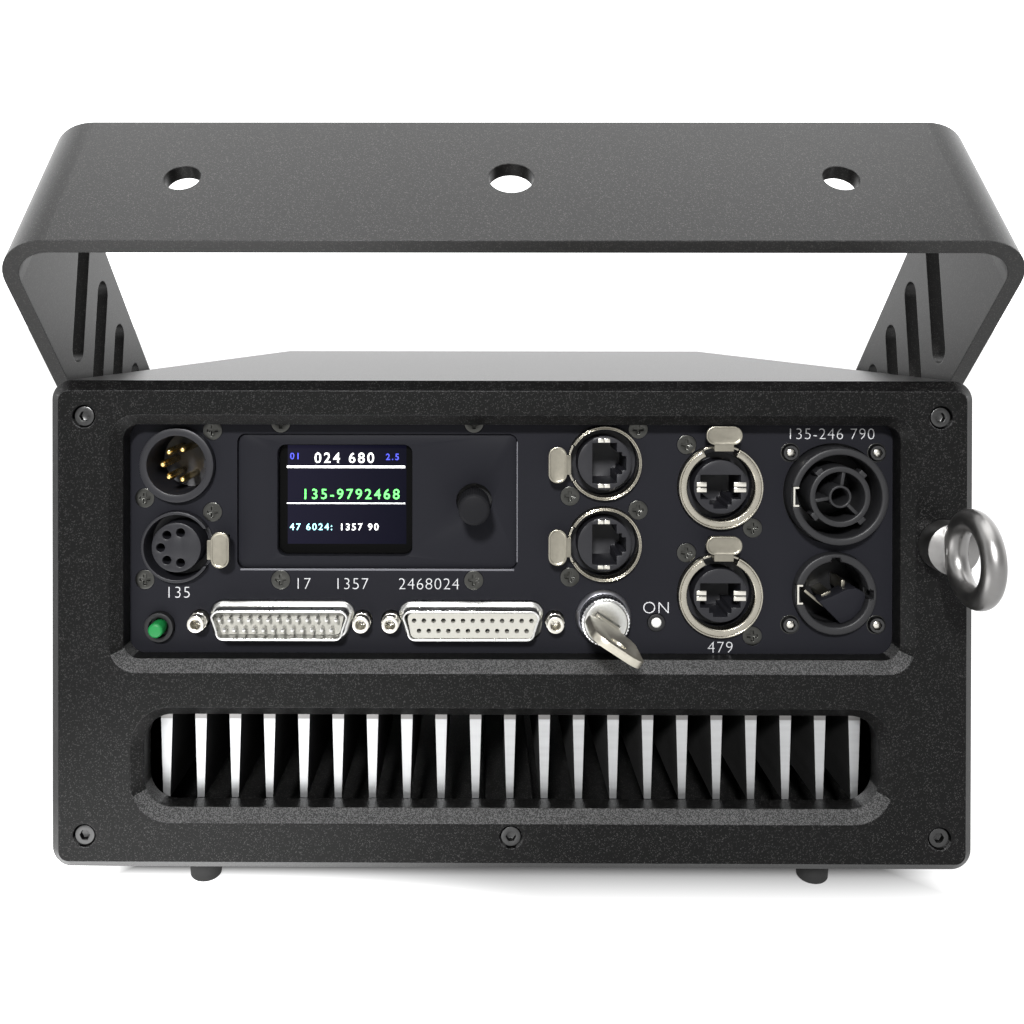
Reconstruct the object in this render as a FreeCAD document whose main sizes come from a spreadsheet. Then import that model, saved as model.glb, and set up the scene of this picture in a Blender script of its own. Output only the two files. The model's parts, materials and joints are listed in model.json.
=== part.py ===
import FreeCAD, Part
import math
import operator
import os
from collections import namedtuple
import Sketcher

# Laser show projector as it is put together: a milled rear frame and a front plate on a sleeve,
# a finned base that carries the optics, a connector panel and a bent-plate yoke.
# Millimetres. +Z is up, the beam leaves along +Y, the rear frame faces -Y, the feet stand on Z = 0.
DIMENSIONS = {
    # Clearances: a fixed fit, a shaft in its bore, two pieces that move past each other
    "fit_gap": 0.15, "running_gap": 0.05, "moving_gap": 0.3, "plate_gap": 0.2,
    # Housing: frame, sleeve, front plate, feet and their screws
    "frame_side": 17, "frame_top": 9.5, "frame_depth": 8.5, "front_depth": 8.5, "shell_wall": 3,
    "corner_radius": 5.5, "edge_chamfer": 2.75, "foot_height": 12, "foot_top_radius": 5.5,
    "foot_tip_radius": 4.5, "foot_inset_x": 39, "foot_inset_y": 20, "post_clear": 0.5, "rail_height": 11,
    "rail_width": 14, "window_radius": 4.5, "window_chamfer": 3, "bevel_land": 0.01, "window_margin": 3.35,
    "slot_inset": 23, "slot_height": 32.5, "slot_low": 13.8, "slot_radius": 8, "slot_bar": 9.7,
    "screw_inset_x": 10, "screw_inset_top": 10, "screw_inset_low": 10, "cap_radius": 2.75,
    "cap_height": 3, "seat_radius": 3.25, "seat_depth": 3.4, "shank_radius": 1.5, "screw_length": 14,
    "hex_radius": 1.45, "hex_depth": 1.6,
    # Finned base
    "fin_pitch": 10, "fin_root": 3.5, "fin_tip": 2, "fin_height": 26, "fin_clear": 2,
    "fin_setback": 10.6, "sink_thickness": 7, "sink_front_gap": 16,
    # Connector panel and the screws in it
    "panel_thickness": 2, "panel_lap": 2, "flange_thickness": 3, "flange_margin": 1.9,
    "flat_head_radius": 2.85, "flat_head_height": 1.2, "cross_length": 3, "cross_width": 0.8,
    "cross_depth": 0.7, "button_head_radius": 2.5, "button_head_height": 0.9,
    # Display module and its push-and-turn knob
    "display_gap": 1, "display_lift": 4.7, "display_width": 81, "display_height": 39.2,
    "display_radius": 2.5, "display_sink": 1, "display_thickness": 2.6, "module_screw_x": 27.9,
    "module_screw_gap": 3.1, "screen_offset": -9.5, "screen_lift": 0.2, "screen_width": 38.8,
    "screen_height": 32, "screen_radius": 2.5, "screen_thickness": 2, "screen_sink": 2.6,
    "knob_offset": 28, "knob_radius": 4.45, "knob_hole": 5.15, "knob_stand": 13,
    "knob_edge": 0.6, "knob_cap": 5, "encoder_radius": 3, "encoder_bush": 3.5, "encoder_bush_length": 1.2,
    "encoder_side": 12, "encoder_depth": 7, "encoder_travel": 0.8,
    # Five-pin sockets
    "xlr_margin": 6.4, "xlr_lift": 1.15, "xlr_pair_gap": 2.65, "xlr_male_radius": 10.7, "xlr_male_bore": 8.5,
    "xlr_female_radius": 10.25, "xlr_lip": 0.85, "xlr_face_radius": 7.1, "xlr_stand": 2.4, "xlr_depth": 14,
    "xlr_floor": 2, "xlr_pin_radius": 1.1, "xlr_pin_tip": 0.6, "xlr_pin_circle": 4.5, "xlr_pin_length": 10,
    "xlr_groove_depth": 8, "xlr_screw": 9.8, "xlr_ridge_width": 2, "xlr_ridge_height": 1.2,
    # Network sockets: a pair on their side and a pair upright
    "net_gap": 8.55, "net_lift": 0.7, "net_mid_gap": 2, "net_mid_radius": 10.7, "net_mid_wall": 1,
    "net_mid_screw_x": 9.8, "net_mid_screw_z": 9.7, "net_pair_gap": 10.45, "net_led_gap": 3.55,
    "net_end_margin": 7.95, "net_end_gap": 1.2, "net_end_radius": 12.15, "net_end_wall": 2.4,
    "net_end_screw_x": 9.5, "net_end_screw_z": 12, "net_ring_stand": 2, "net_insert_radius": 7.7,
    "net_insert_depth": 18, "net_insert_sink": 0.8, "net_groove_depth": 6, "jack_width": 11.6,
    "jack_height": 7, "jack_depth": 14, "notch_width": 6.4, "notch_height": 1.5, "latch_width": 4.1,
    "latch_height": 1.2,
    # Release tabs
    "tab_length": 10.2, "tab_breadth": 5.2, "tab_thickness": 1.4, "tab_lift": 2.5, "tab_travel": 1.5,
    "tab_gap": 0.5, "tab_radius": 2.5, "tab_neck": 5.5, "tab_neck_lap": 0.4, "tab_stem": 2.4,
    "tab_stem_length": 6,
    # Power inlet and outlet in one moulding
    "power_gap": 6.15, "power_margin": 5.6, "power_low_margin": 9.1, "power_pair_gap": 2.4,
    "power_base_radius": 14.4, "power_upper_radius": 13.85, "power_upper_bore": 11.8,
    "power_upper_stand": 5.7, "power_core_radius": 8.6, "power_core_bore": 7, "power_hub_radius": 3.2,
    "power_hub_bore": 2.5, "power_spoke": 1, "power_lug_width": 2.2, "power_lug_height": 1.1,
    "power_lug_length": 4, "power_lower_radius": 11.7, "power_lower_bore": 9.4, "power_lower_stand": 2.6,
    "power_depth": 20, "power_bore_depth": 12, "power_notch": 2.4, "power_notch_depth": 1.2,
    "power_screw_gap": 0.25, "power_screw_angle": 43.5, "power_screw_tuck": 2.4, "power_flange_margin": 3.05,
    "contact_width": 4, "contact_thickness": 1.2, "contact_length": 6, "contact_circle": 4.6,
    "clip_height": 5.6, "clip_leg": 1.6, "clip_wire": 0.5, "clip_depth": 3, "clip_wall": 0.45,
    # D-subs
    "dsub_gap": 3.28, "dsub_pair_gap": 0.36, "dsub_margin": 6.9, "dsub_half_top": 19.5, "dsub_half_low": 18.1,
    "dsub_half_height": 4.3, "dsub_corner": 2.3, "dsub_collar": 1.3, "dsub_collar_height": 1.3,
    "dsub_collar_bevel": 1, "dsub_wall": 0.6, "dsub_stand": 6, "dsub_male_sink": 3.6, "dsub_female_sink": 0.4,
    "dsub_ear": 4, "dsub_rim": 1, "dsub_depth": 8, "dsub_pitch": 2.77, "dsub_row": 1.45,
    "dsub_pin_radius": 0.5, "dsub_pin_length": 3, "dsub_hole_depth": 4, "jackscrew_x": 23.52,
    "jackscrew_radius": 2.8, "jackscrew_cup": 2.4, "jackscrew_bore": 1.45, "jackscrew_hex": 2.4,
    "jackscrew_stand": 5, "jackscrew_depth": 6,
    # Key switch
    "key_gap": 1.18, "key_margin": 4.4, "key_washer_radius": 8.6, "key_washer_height": 1,
    "key_barrel_radius": 7, "key_barrel_stand": 6, "key_barrel_depth": 20, "key_nut_radius": 9,
    "key_nut_thickness": 3, "key_face_radius": 6.1, "key_face_depth": 3, "key_face_sink": 0.3,
    "key_rotor_radius": 4.6, "key_rotor_depth": 14, "key_turn": 33, "key_blade_width": 7.5,
    "key_thickness": 2.2, "key_neck": 6, "key_bow_width": 15.5, "key_bow_length": 20, "key_bow_radius": 4.5,
    "key_hole_radius": 2.2, "key_hole_inset": 5,
    # Status light and restart button
    "led_gap": 3.7, "led_margin": 9.5, "led_radius": 1.5, "led_stand": 1.3, "led_tip_radius": 0.9,
    "led_bezel_radius": 2.5, "led_bezel_stand": 0.5, "led_depth": 6, "button_margin": 7.6,
    "button_low_margin": 6.4, "button_radius": 2.1, "button_stand": 5.2, "button_travel": 1,
    "button_depth": 5, "bezel_radius": 4.2, "bezel_stand": 2, "bezel_well": 2.9, "bezel_well_depth": 2.2,
    "bezel_depth": 7,
    # Eye bolt
    "eye_inset": 9.2, "eye_lift": 36.4, "eye_collar_radius": 7.1, "eye_collar_length": 7.25,
    "eye_straight": 6.4, "eye_neck_radius": 3, "eye_ring_radius": 10.1, "eye_wire_radius": 3.05,
    "eye_shank_radius": 3, "eye_shank_length": 14, "eye_boss_height": 16, "eye_boss_length": 20,
    # Yoke, its spacers and its hand knobs
    "yoke_plate": 4.5, "yoke_width": 52.5, "yoke_reach": 195, "yoke_bend": 16, "yoke_lean": 47.7,
    "yoke_hole_radius": 6.5, "yoke_side_hole_radius": 5.25, "yoke_side_hole_inset": 48,
    "arm_slot_width": 9, "arm_slot_margin": 8.75, "arm_slot_slope": 33.6, "arm_slot_first": 49.5,
    "arm_slot_pitch": 21.7, "pivot_y": 150, "pivot_z": 64.5, "stud_radius": 4, "stud_inside": 10,
    "spacer_length": 7.5, "spacer_radius": 20, "hand_knob_radius": 17, "hand_knob_length": 18,
    "hand_knob_collar": 4.5, "scoop_radius": 5, "scoop_offset": 2.5,
    # Beam window and the mask that shuts off its lower part
    "aperture_x": -40, "aperture_z": 96, "aperture_width": 46, "aperture_height": 34, "glass_thickness": 3,
    "glass_lap": 4, "mask_width": 78, "mask_height": 32, "mask_thickness": 2, "mask_travel": 18,
    "mask_slot_x": 31, "mask_screw_inset": 6, "mask_screw_radius": 2, "mask_head_radius": 4.5,
    "mask_head_height": 5,
    # Optics on the finned base
    "bench_setback": 75, "bench_inset": 76, "bench_width": 112, "bench_thickness": 8, "bench_edge": 4,
    "laser_end": 6, "laser_width": 28, "laser_length": 58, "laser_height": 34, "laser_pitch": 34,
    "mirror_first": 24, "mirror_pitch": 18, "mirror_side": 12, "mirror_thickness": 3, "mirror_post": 9,
    "beam_height": 27, "galvo_gap": 8, "galvo_block_side": 38, "galvo_block_height": 40,
    "galvo_motor_radius": 7, "galvo_motor_length": 26, "galvo_shaft_radius": 1.5, "galvo_shaft_length": 8,
    "galvo_blade_width": 8, "galvo_blade_length": 11, "galvo_blade_thickness": 1.2, "galvo_blade_lap": 1,
    "galvo_x_inset": 12, "galvo_y_inset": 9.6, "galvo_y_sink": 14.3,
    # Boards, power supply and fans
    "board_thickness": 1.6, "control_width": 150, "control_height": 52, "control_setback": 32,
    "driver_length": 49, "driver_height": 44, "driver_spacing": 20, "driver_inset": 20, "driver_gap": 4,
    "driver_front_gap": 17.7, "supply_height": 42, "supply_gap": 4, "supply_clear": 5, "supply_setback": 90,
    "fan_side": 38, "fan_depth": 10, "fan_x": 58, "fan_wall": 1.4, "fan_hub_radius": 7, "fan_tip_gap": 0.8,
    "fan_blade_thickness": 1.2, "fan_blade_chord": 6.5, "fan_blade_pitch": 35, "fan_strut": 2,
    "fan_strut_inset": 0.5, "fan_pin_radius": 1.5, "fan_pin_length": 5,
}
FIN_COUNT = 21
XLR_PIN_ANGLES = (74, 127, 180, 233, 286)
SPOKE_ANGLES = (80, 190, 315)
LUG_ANGLES = (45, 130, 218, 312)
CONTACT_ANGLES = (0, 120, 235)
DSUB_TOP_COUNT = 13
DSUB_LOW_COUNT = 12
DSUB_ROWS = ((1, DSUB_TOP_COUNT), (-1, DSUB_LOW_COUNT))
LASERS = 3
DRIVERS = 2
FAN_BLADES = 7
KNOB_LOBES = 6
ARM_SLOTS = 5
TOUCH = 1e-4

doc = FreeCAD.newDocument("laser_projector")
sheet = doc.addObject("Spreadsheet::Sheet", "dims")
for row, (alias, number) in enumerate(DIMENSIONS.items(), start=1):
    sheet.set(f"A{row}", alias)
    sheet.set(f"B{row}", str(number))
    sheet.setAlias(f"B{row}", alias)
layout = doc.addObject("Spreadsheet::Sheet", "layout")
doc.recompute()


class Size:
    """A length read from the sheet, together with the formula that binds to it."""

    def __init__(self, value, formula):
        self.value = float(value)
        self.formula = formula

    def __add__(self, other):
        return combine(self, "+", other)

    def __radd__(self, other):
        return combine(other, "+", self)

    def __sub__(self, other):
        return combine(self, "-", other)

    def __rsub__(self, other):
        return combine(other, "-", self)

    def __mul__(self, other):
        return combine(self, "*", other)

    def __rmul__(self, other):
        return combine(other, "*", self)

    def __truediv__(self, other):
        return combine(self, "/", other)

    def __neg__(self):
        return combine(0, "-", self)


SIGNS = {"+": operator.add, "-": operator.sub, "*": operator.mul, "/": operator.truediv}


def as_size(item):
    return item if isinstance(item, Size) else Size(item, f"{float(item):.9f}")


def combine(left, sign, right):
    left, right = as_size(left), as_size(right)
    return Size(SIGNS[sign](left.value, right.value), f"({left.formula} {sign} {right.formula})")


def largest(*sizes):
    formulas = "; ".join(size.formula for size in sizes)
    return Size(max(size.value for size in sizes), f"max({formulas})")


class Dimensions:
    """Gives each named dimension of the sheet as a Size."""

    def __getattr__(self, name):
        return Size(getattr(sheet, name), f"dims.{name}")


D = Dimensions()
ZERO = as_size(0)
LAYOUT_NAMES = []


def laid_out(alias, size):
    """Keeps a place that follows from other sizes in the layout sheet and returns it by its name there."""
    LAYOUT_NAMES.append(alias)
    cell = f"B{len(LAYOUT_NAMES)}"
    layout.set(f"A{len(LAYOUT_NAMES)}", alias)
    layout.set(cell, "=" + size.formula.replace("layout.", ""))
    layout.setAlias(cell, alias)
    return Size(size.value, f"layout.{alias}")


# Across the panel, each connector takes its place from its left neighbour's edge. The lower row
# runs from the restart button to the status light, the upper rows from the five-pin sockets to
# the power sockets, and together they set the window's width.
DSUB_REACH = D.jackscrew_x + D.dsub_ear
BUTTON_AT = D.button_margin + D.bezel_radius
DSUB_MALE_AT = BUTTON_AT + D.bezel_radius + D.dsub_gap + DSUB_REACH
DSUB_FEMALE_AT = DSUB_MALE_AT + 2 * DSUB_REACH + D.dsub_pair_gap
KEY_AT = DSUB_FEMALE_AT + DSUB_REACH + D.key_gap + D.key_nut_radius
LED_AT = laid_out("led_at", KEY_AT + D.key_nut_radius + D.led_gap + D.led_bezel_radius)
XLR_AT = D.xlr_margin + D.xlr_male_radius
DISPLAY_AT = (XLR_AT + D.xlr_female_radius + D.tab_gap + D.tab_breadth + D.display_gap
              + D.display_width / 2)
NET_MID_AT = laid_out("net_mid_at", DISPLAY_AT + D.display_width / 2 + D.net_gap + D.tab_breadth
                      + D.tab_gap + D.net_mid_radius)
NET_END_AT = laid_out("net_end_at", D.net_end_radius + largest(
    NET_MID_AT + D.net_mid_radius + D.net_pair_gap, LED_AT + D.led_bezel_radius + D.net_led_gap))
POWER_AT = NET_END_AT + D.net_end_radius + D.power_gap + D.power_base_radius
WINDOW_WIDTH = laid_out("window_width", POWER_AT + D.power_base_radius + D.power_margin)
WINDOW_LEFT = -WINDOW_WIDTH / 2
BUTTON_X = laid_out("button_x", WINDOW_LEFT + BUTTON_AT)
DSUB_MALE_X = laid_out("dsub_male_x", WINDOW_LEFT + DSUB_MALE_AT)
DSUB_FEMALE_X = laid_out("dsub_female_x", WINDOW_LEFT + DSUB_FEMALE_AT)
KEY_X = laid_out("key_x", WINDOW_LEFT + KEY_AT)
LED_X = laid_out("led_x", WINDOW_LEFT + LED_AT)
XLR_X = laid_out("xlr_x", WINDOW_LEFT + XLR_AT)
DISPLAY_X = laid_out("display_x", WINDOW_LEFT + DISPLAY_AT)
NET_MID_X = laid_out("net_mid_x", WINDOW_LEFT + NET_MID_AT)
NET_END_X = laid_out("net_end_x", WINDOW_LEFT + NET_END_AT)
POWER_X = laid_out("power_x", WINDOW_LEFT + POWER_AT)

# Up the panel, each row stands on the one below it, and the highest sets the window's top
FLOOR = D.foot_height
SLOT_LOW = FLOOR + D.slot_low
WINDOW_LOW = laid_out("window_low", SLOT_LOW + D.slot_height + D.slot_bar)
DSUB_Z = laid_out("dsub_z", WINDOW_LOW + D.dsub_margin + D.dsub_half_height + D.dsub_collar)
DSUB_BACK_HALF = D.dsub_half_height + D.dsub_collar + D.dsub_rim
KEY_Z = laid_out("key_z", WINDOW_LOW + D.key_margin + D.key_nut_radius)
LED_Z = laid_out("led_z", WINDOW_LOW + D.led_margin + D.led_bezel_radius)
BUTTON_Z = laid_out("button_z", WINDOW_LOW + D.button_low_margin + D.bezel_radius)
ROW_TOP = laid_out("row_top", largest(KEY_Z + D.key_nut_radius, DSUB_Z + DSUB_BACK_HALF,
                                      BUTTON_Z + D.bezel_radius))
XLR_FLANGE = D.xlr_screw + D.flange_margin
XLR_FEMALE_Z = laid_out("xlr_female_z", ROW_TOP + D.xlr_lift + D.xlr_female_radius)
XLR_MALE_Z = laid_out("xlr_male_z", XLR_FEMALE_Z + largest(
    D.xlr_female_radius + D.xlr_pair_gap + D.xlr_male_radius, 2 * XLR_FLANGE + D.plate_gap))
DISPLAY_Z = laid_out("display_z", ROW_TOP + D.display_lift + D.display_height / 2)
NET_MID_FLANGE = D.net_mid_screw_z + D.flange_margin
NET_MID_LOWER_Z = laid_out("net_mid_lower_z", ROW_TOP + D.net_lift
                           + largest(D.net_mid_radius, NET_MID_FLANGE))
NET_MID_UPPER_Z = laid_out("net_mid_upper_z", NET_MID_LOWER_Z + largest(
    2 * D.net_mid_radius + D.net_mid_gap, 2 * NET_MID_FLANGE + D.plate_gap))
TAB_ROOM = D.tab_gap + D.tab_breadth
NET_END_LOWER_Z = laid_out("net_end_lower_z", WINDOW_LOW + D.net_end_margin + D.net_end_radius)
NET_END_UPPER_Z = laid_out("net_end_upper_z", NET_END_LOWER_Z + 2 * D.net_end_radius + TAB_ROOM
                           + D.net_end_gap)
POWER_LOWER_Z = laid_out("power_lower_z", WINDOW_LOW + D.power_low_margin + D.power_lower_radius)
POWER_UPPER_Z = laid_out("power_upper_z", POWER_LOWER_Z + D.power_lower_radius + D.power_pair_gap
                         + D.power_base_radius)
WINDOW_TOP = laid_out("window_top", D.window_margin + largest(
    XLR_MALE_Z + D.xlr_male_radius, NET_MID_UPPER_Z + D.net_mid_radius,
    NET_END_UPPER_Z + D.net_end_radius + TAB_ROOM, POWER_UPPER_Z + D.power_base_radius,
    DISPLAY_Z + D.display_height / 2))
TOP = laid_out("top", WINDOW_TOP + D.frame_top)

# Along the body, the optics bench sets the length, and the eye bolt and the mask's screws reach past it
BENCH_LENGTH = laid_out("bench_length", D.laser_end + D.laser_length + D.mirror_first
                        + (LASERS - 1) * D.mirror_pitch + D.galvo_gap + D.galvo_block_side)
BODY_LENGTH = laid_out("body_length", D.frame_depth + D.bench_setback + BENCH_LENGTH + D.bench_inset
                       + D.front_depth)
EYE_REACH = D.eye_collar_length + 2 * D.eye_ring_radius + D.eye_wire_radius
MASK_REACH = 2 * D.moving_gap + D.mask_thickness + D.mask_head_height
REAR = laid_out("rear", (EYE_REACH - MASK_REACH - BODY_LENGTH) / 2)
FRONT = laid_out("front", REAR + BODY_LENGTH)
PANEL = laid_out("panel", REAR + D.frame_depth)
PANEL_BACK = PANEL + D.panel_thickness
FRONT_BACK = laid_out("front_back", FRONT - D.front_depth)
BODY_WIDTH = laid_out("body_width", WINDOW_WIDTH + 2 * D.frame_side)
BODY_HEIGHT = laid_out("body_height", TOP - FLOOR)
BODY_HALF = BODY_WIDTH / 2
INNER_HALF = laid_out("inner_half", BODY_HALF - D.shell_wall)
INNER_FLOOR = FLOOR + D.shell_wall
POST_SIDE = D.frame_side - D.shell_wall - D.panel_lap - D.post_clear
SINK_LOW = laid_out("sink_low", INNER_FLOOR + D.rail_height + D.fin_clear + D.fin_height)
SINK_TOP = SINK_LOW + D.sink_thickness
SINK_REAR = REAR + D.fin_setback
SINK_FRONT = FRONT_BACK - D.sink_front_gap
PIVOT_Y = laid_out("pivot_at", REAR + D.pivot_y)
PIVOT_Z = FLOOR + D.pivot_z
YOKE_INNER = laid_out("yoke_inner", BODY_HALF + D.spacer_length)
YOKE_HALF = YOKE_INNER + D.yoke_plate
EYE_X = BODY_HALF - D.eye_inset
EYE_Z = WINDOW_LOW + D.eye_lift
doc.recompute()

# Axis turns that lay a primitive's own Z along another direction
X_AXIS = FreeCAD.Vector(1, 0, 0)
Y_AXIS = FreeCAD.Vector(0, 1, 0)
TURNS = {
    "z": FreeCAD.Rotation(),
    "y": FreeCAD.Rotation(X_AXIS, -90),
    "-y": FreeCAD.Rotation(X_AXIS, 90),
    "x": FreeCAD.Rotation(Y_AXIS, 90),
    "-x": FreeCAD.Rotation(Y_AXIS, -90),
}


def bind(item, prop, size):
    item.setExpression(prop, as_size(size).formula)


def place(item, at, turn=None):
    if turn is not None:
        item.Placement = FreeCAD.Placement(FreeCAD.Vector(), turn)
    for axis, size in zip("xyz", at):
        bind(item, f"Placement.Base.{axis}", size)
    return item


def box(name, low, span):
    item = doc.addObject("Part::Box", name)
    for prop, size in zip(("Length", "Width", "Height"), span):
        bind(item, prop, size)
    return place(item, low)


def rod(name, at, radius, length, along="y"):
    item = doc.addObject("Part::Cylinder", name)
    bind(item, "Radius", radius)
    bind(item, "Height", length)
    return place(item, at, TURNS[along])


def cone(name, at, radius, end_radius, length, along="y"):
    item = doc.addObject("Part::Cone", name)
    bind(item, "Radius1", radius)
    bind(item, "Radius2", end_radius)
    bind(item, "Height", length)
    return place(item, at, TURNS[along])


def hexagon(name, at, radius, length, along="y"):
    item = doc.addObject("Part::Prism", name)
    item.Polygon = 6
    bind(item, "Circumradius", radius)
    bind(item, "Height", length)
    return place(item, at, TURNS[along])


def fuse(name, items):
    item = doc.addObject("Part::MultiFuse", name)
    item.Shapes = items
    return item


def group(name, items):
    item = doc.addObject("Part::Compound", name)
    item.Links = items
    return item


def cut(name, base, tools):
    item = doc.addObject("Part::Cut", name)
    item.Base = base
    item.Tool = tools[0] if len(tools) == 1 else group(f"{name}_tools", tools)
    return item


def ring(name, at, radius, bore, length, along="y"):
    outer = rod(f"{name}_outer", at, radius, length, along)
    return cut(name, outer, [rod(f"{name}_inner", at, bore, length, along)])


def runs_along(edge, axis):
    """True for a straight edge that lies along x, y or z."""
    if not isinstance(edge.Curve, Part.Line):
        return False
    return abs(abs(getattr(edge.Curve.Direction, axis)) - 1) < TOUCH


def lies_at(edge, axis, size):
    """True for an edge that lies in the plane X, Y or Z = size."""
    low = getattr(edge.BoundBox, f"{axis}Min")
    high = getattr(edge.BoundBox, f"{axis}Max")
    return abs(low - size.value) < TOUCH and abs(high - size.value) < TOUCH


def soften(kind, name, base, size, wanted):
    """Rounds or bevels the edges of base that wanted picks."""
    doc.recompute()
    item = doc.addObject(f"Part::{kind}", name)
    item.Base = base
    picked = [n for n, edge in enumerate(base.Shape.Edges, 1) if wanted(edge)]
    item.Edges = [(n, size.value, size.value) for n in picked]
    return item


def rounded(name, low, span, radius, axis="y"):
    """A block whose four edges along one axis are round."""
    block = box(f"{name}_block", low, span)
    return soften("Fillet", name, block, radius, lambda edge: runs_along(edge, axis))


def body_with_outline(name, role, corners):
    """A body whose first sketch is a closed outline with every corner tied to the sheet."""
    body = doc.addObject("PartDesign::Body", name)
    plane = next(f for f in body.Origin.OriginFeatures if f.Role == role)
    sketch = body.newObject("Sketcher::SketchObject", f"{name}_outline")
    sketch.AttachmentSupport = [(plane, "")]
    sketch.MapMode = "FlatFace"
    points = [FreeCAD.Vector(as_size(a).value, as_size(b).value) for a, b in corners]
    for n, point in enumerate(points):
        sketch.addGeometry(Part.LineSegment(point, points[(n + 1) % len(points)]))
    for n in range(len(points)):
        sketch.addConstraint(Sketcher.Constraint("Coincident", n, 2, (n + 1) % len(points), 1))
    for n, (across, up) in enumerate(corners):
        for kind, size in (("DistanceX", across), ("DistanceY", up)):
            size = as_size(size)
            mark = sketch.addConstraint(Sketcher.Constraint(kind, -1, 1, n, 1, size.value))
            sketch.setExpression(f"Constraints[{mark}]", size.formula)
    return body, sketch


def padded(name, role, corners, depth, at, turn=None, midplane=False, flip=False):
    body, sketch = body_with_outline(name, role, corners)
    pad = body.newObject("PartDesign::Pad", f"{name}_pad")
    pad.Profile = sketch
    bind(pad, "Length", depth)
    pad.Midplane = midplane
    pad.Reversed = flip
    return place(body, at, turn)


def turned(name, corners, at, along="y"):
    """A body turned about its own Z from (radius, height) corners."""
    body, sketch = body_with_outline(name, "XZ_Plane", corners)
    lathe = body.newObject("PartDesign::Revolution", f"{name}_lathe")
    lathe.Profile = sketch
    lathe.ReferenceAxis = (sketch, ["V_Axis"])
    lathe.Angle = 360
    return place(body, at, TURNS[along])


def spoke(name, at, near, far, width, depth, angle):
    """A bar that stands out from a centre at an angle in the panel's plane, and runs inwards."""
    corners = [(near, -width / 2), (far, -width / 2), (far, width / 2), (near, width / 2)]
    return padded(name, "XZ_Plane", corners, depth, at, FreeCAD.Rotation(Y_AXIS, -angle), flip=True)


NODES = []


def node(item, label):
    """Marks a finished piece for writing."""
    item.Label = label
    NODES.append(item)
    return item


# Rear frame: one milled plate, bevelled outside, with a window for the connector panel above
# and a slot for the cooling fins below.
def plate_blank(name, y_low, depth, bevel_y):
    low = (-BODY_HALF, y_low, FLOOR)
    blank = rounded(f"{name}_blank", low, (BODY_WIDTH, depth, BODY_HEIGHT), D.corner_radius)
    return soften("Chamfer", f"{name}_bevelled", blank, D.edge_chamfer, lambda e: lies_at(e, "Y", bevel_y))


def bevelled_opening(name, x_mid, z_low, width, height, radius, y_face, way):
    """A round-cornered opening through a plate, with a bevel that widens it to its outer face."""
    depth = D.frame_depth + D.front_depth
    inner_width = width - 2 * D.window_chamfer
    inner_height = height - 2 * D.window_chamfer
    start = y_face if way > 0 else y_face - depth
    low = (x_mid - inner_width / 2, start, z_low + D.window_chamfer)
    straight = rounded(f"{name}_straight", low, (inner_width, depth, inner_height), radius)
    lip_y = y_face if way > 0 else y_face - D.window_chamfer
    lip_low = (x_mid - width / 2, lip_y, z_low)
    lip = rounded(f"{name}_lip", lip_low, (width, D.window_chamfer, height), radius + D.window_chamfer)
    deep = lip_y + D.window_chamfer if way > 0 else lip_y
    bevel = soften("Chamfer", f"{name}_bevel", lip, D.window_chamfer - D.bevel_land,
                   lambda e: lies_at(e, "Y", deep))
    return [straight, bevel]


SCREW_X = BODY_HALF - D.screw_inset_x
SCREW_TOP = TOP - D.screw_inset_top
SCREW_LOW = FLOOR + D.screw_inset_low
SCREW_SPOTS = [(-SCREW_X, SCREW_TOP), (SCREW_X, SCREW_TOP), (-SCREW_X, SCREW_LOW), (SCREW_X, SCREW_LOW),
               (ZERO, SCREW_LOW)]


def screw_holes(name, y_face, way):
    along = "y" if way > 0 else "-y"
    tools = []
    for n, (x, z) in enumerate(SCREW_SPOTS):
        tools.append(rod(f"{name}_seat{n}", (x, y_face, z), D.seat_radius, D.seat_depth, along))
        tools.append(rod(f"{name}_hole{n}", (x, y_face, z), D.shank_radius + D.fit_gap,
                         D.frame_depth + D.front_depth, along))
    return tools


def cap_screws(label, y_face, way):
    """Socket-head screws in their counterbores, five to a plate."""
    along, back = ("y", "-y") if way > 0 else ("-y", "y")
    seat = y_face + way * D.seat_depth
    face = seat - way * D.cap_height
    screws = []
    for n, (x, z) in enumerate(SCREW_SPOTS):
        head = rod(f"{label}_head{n}", (x, seat, z), D.cap_radius, D.cap_height, back)
        shank = rod(f"{label}_shank{n}", (x, seat, z), D.shank_radius, D.screw_length, along)
        whole = fuse(f"{label}_whole{n}", [head, shank])
        socket = hexagon(f"{label}_hex{n}", (x, face, z), D.hex_radius, D.hex_depth, along)
        screws.append(cut(f"{label}_{n}", whole, [socket]))
    return screws


def make_cap_screws():
    screws = cap_screws("rear_screw", REAR, 1) + cap_screws("front_screw", FRONT, -1)
    node(group("cap_screw_set", screws), "cap_screws")


def fin_slot(name, y_face, way):
    return bevelled_opening(name, ZERO, SLOT_LOW, BODY_WIDTH - 2 * D.slot_inset, D.slot_height,
                            D.slot_radius, y_face, way)


def make_rear_frame():
    blank = plate_blank("rear_frame", REAR, D.frame_depth, REAR)
    tools = bevelled_opening("panel_window", ZERO, WINDOW_LOW, WINDOW_WIDTH, WINDOW_TOP - WINDOW_LOW,
                             D.window_radius, REAR, 1)
    tools += fin_slot("fin_slot", REAR, 1)
    tools += screw_holes("rear_frame", REAR, 1)
    tools.append(rod("eye_hole", (EYE_X, REAR, EYE_Z), D.eye_shank_radius + D.fit_gap, D.frame_depth))
    node(cut("rear_frame_cut", blank, tools), "rear_frame")


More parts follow.
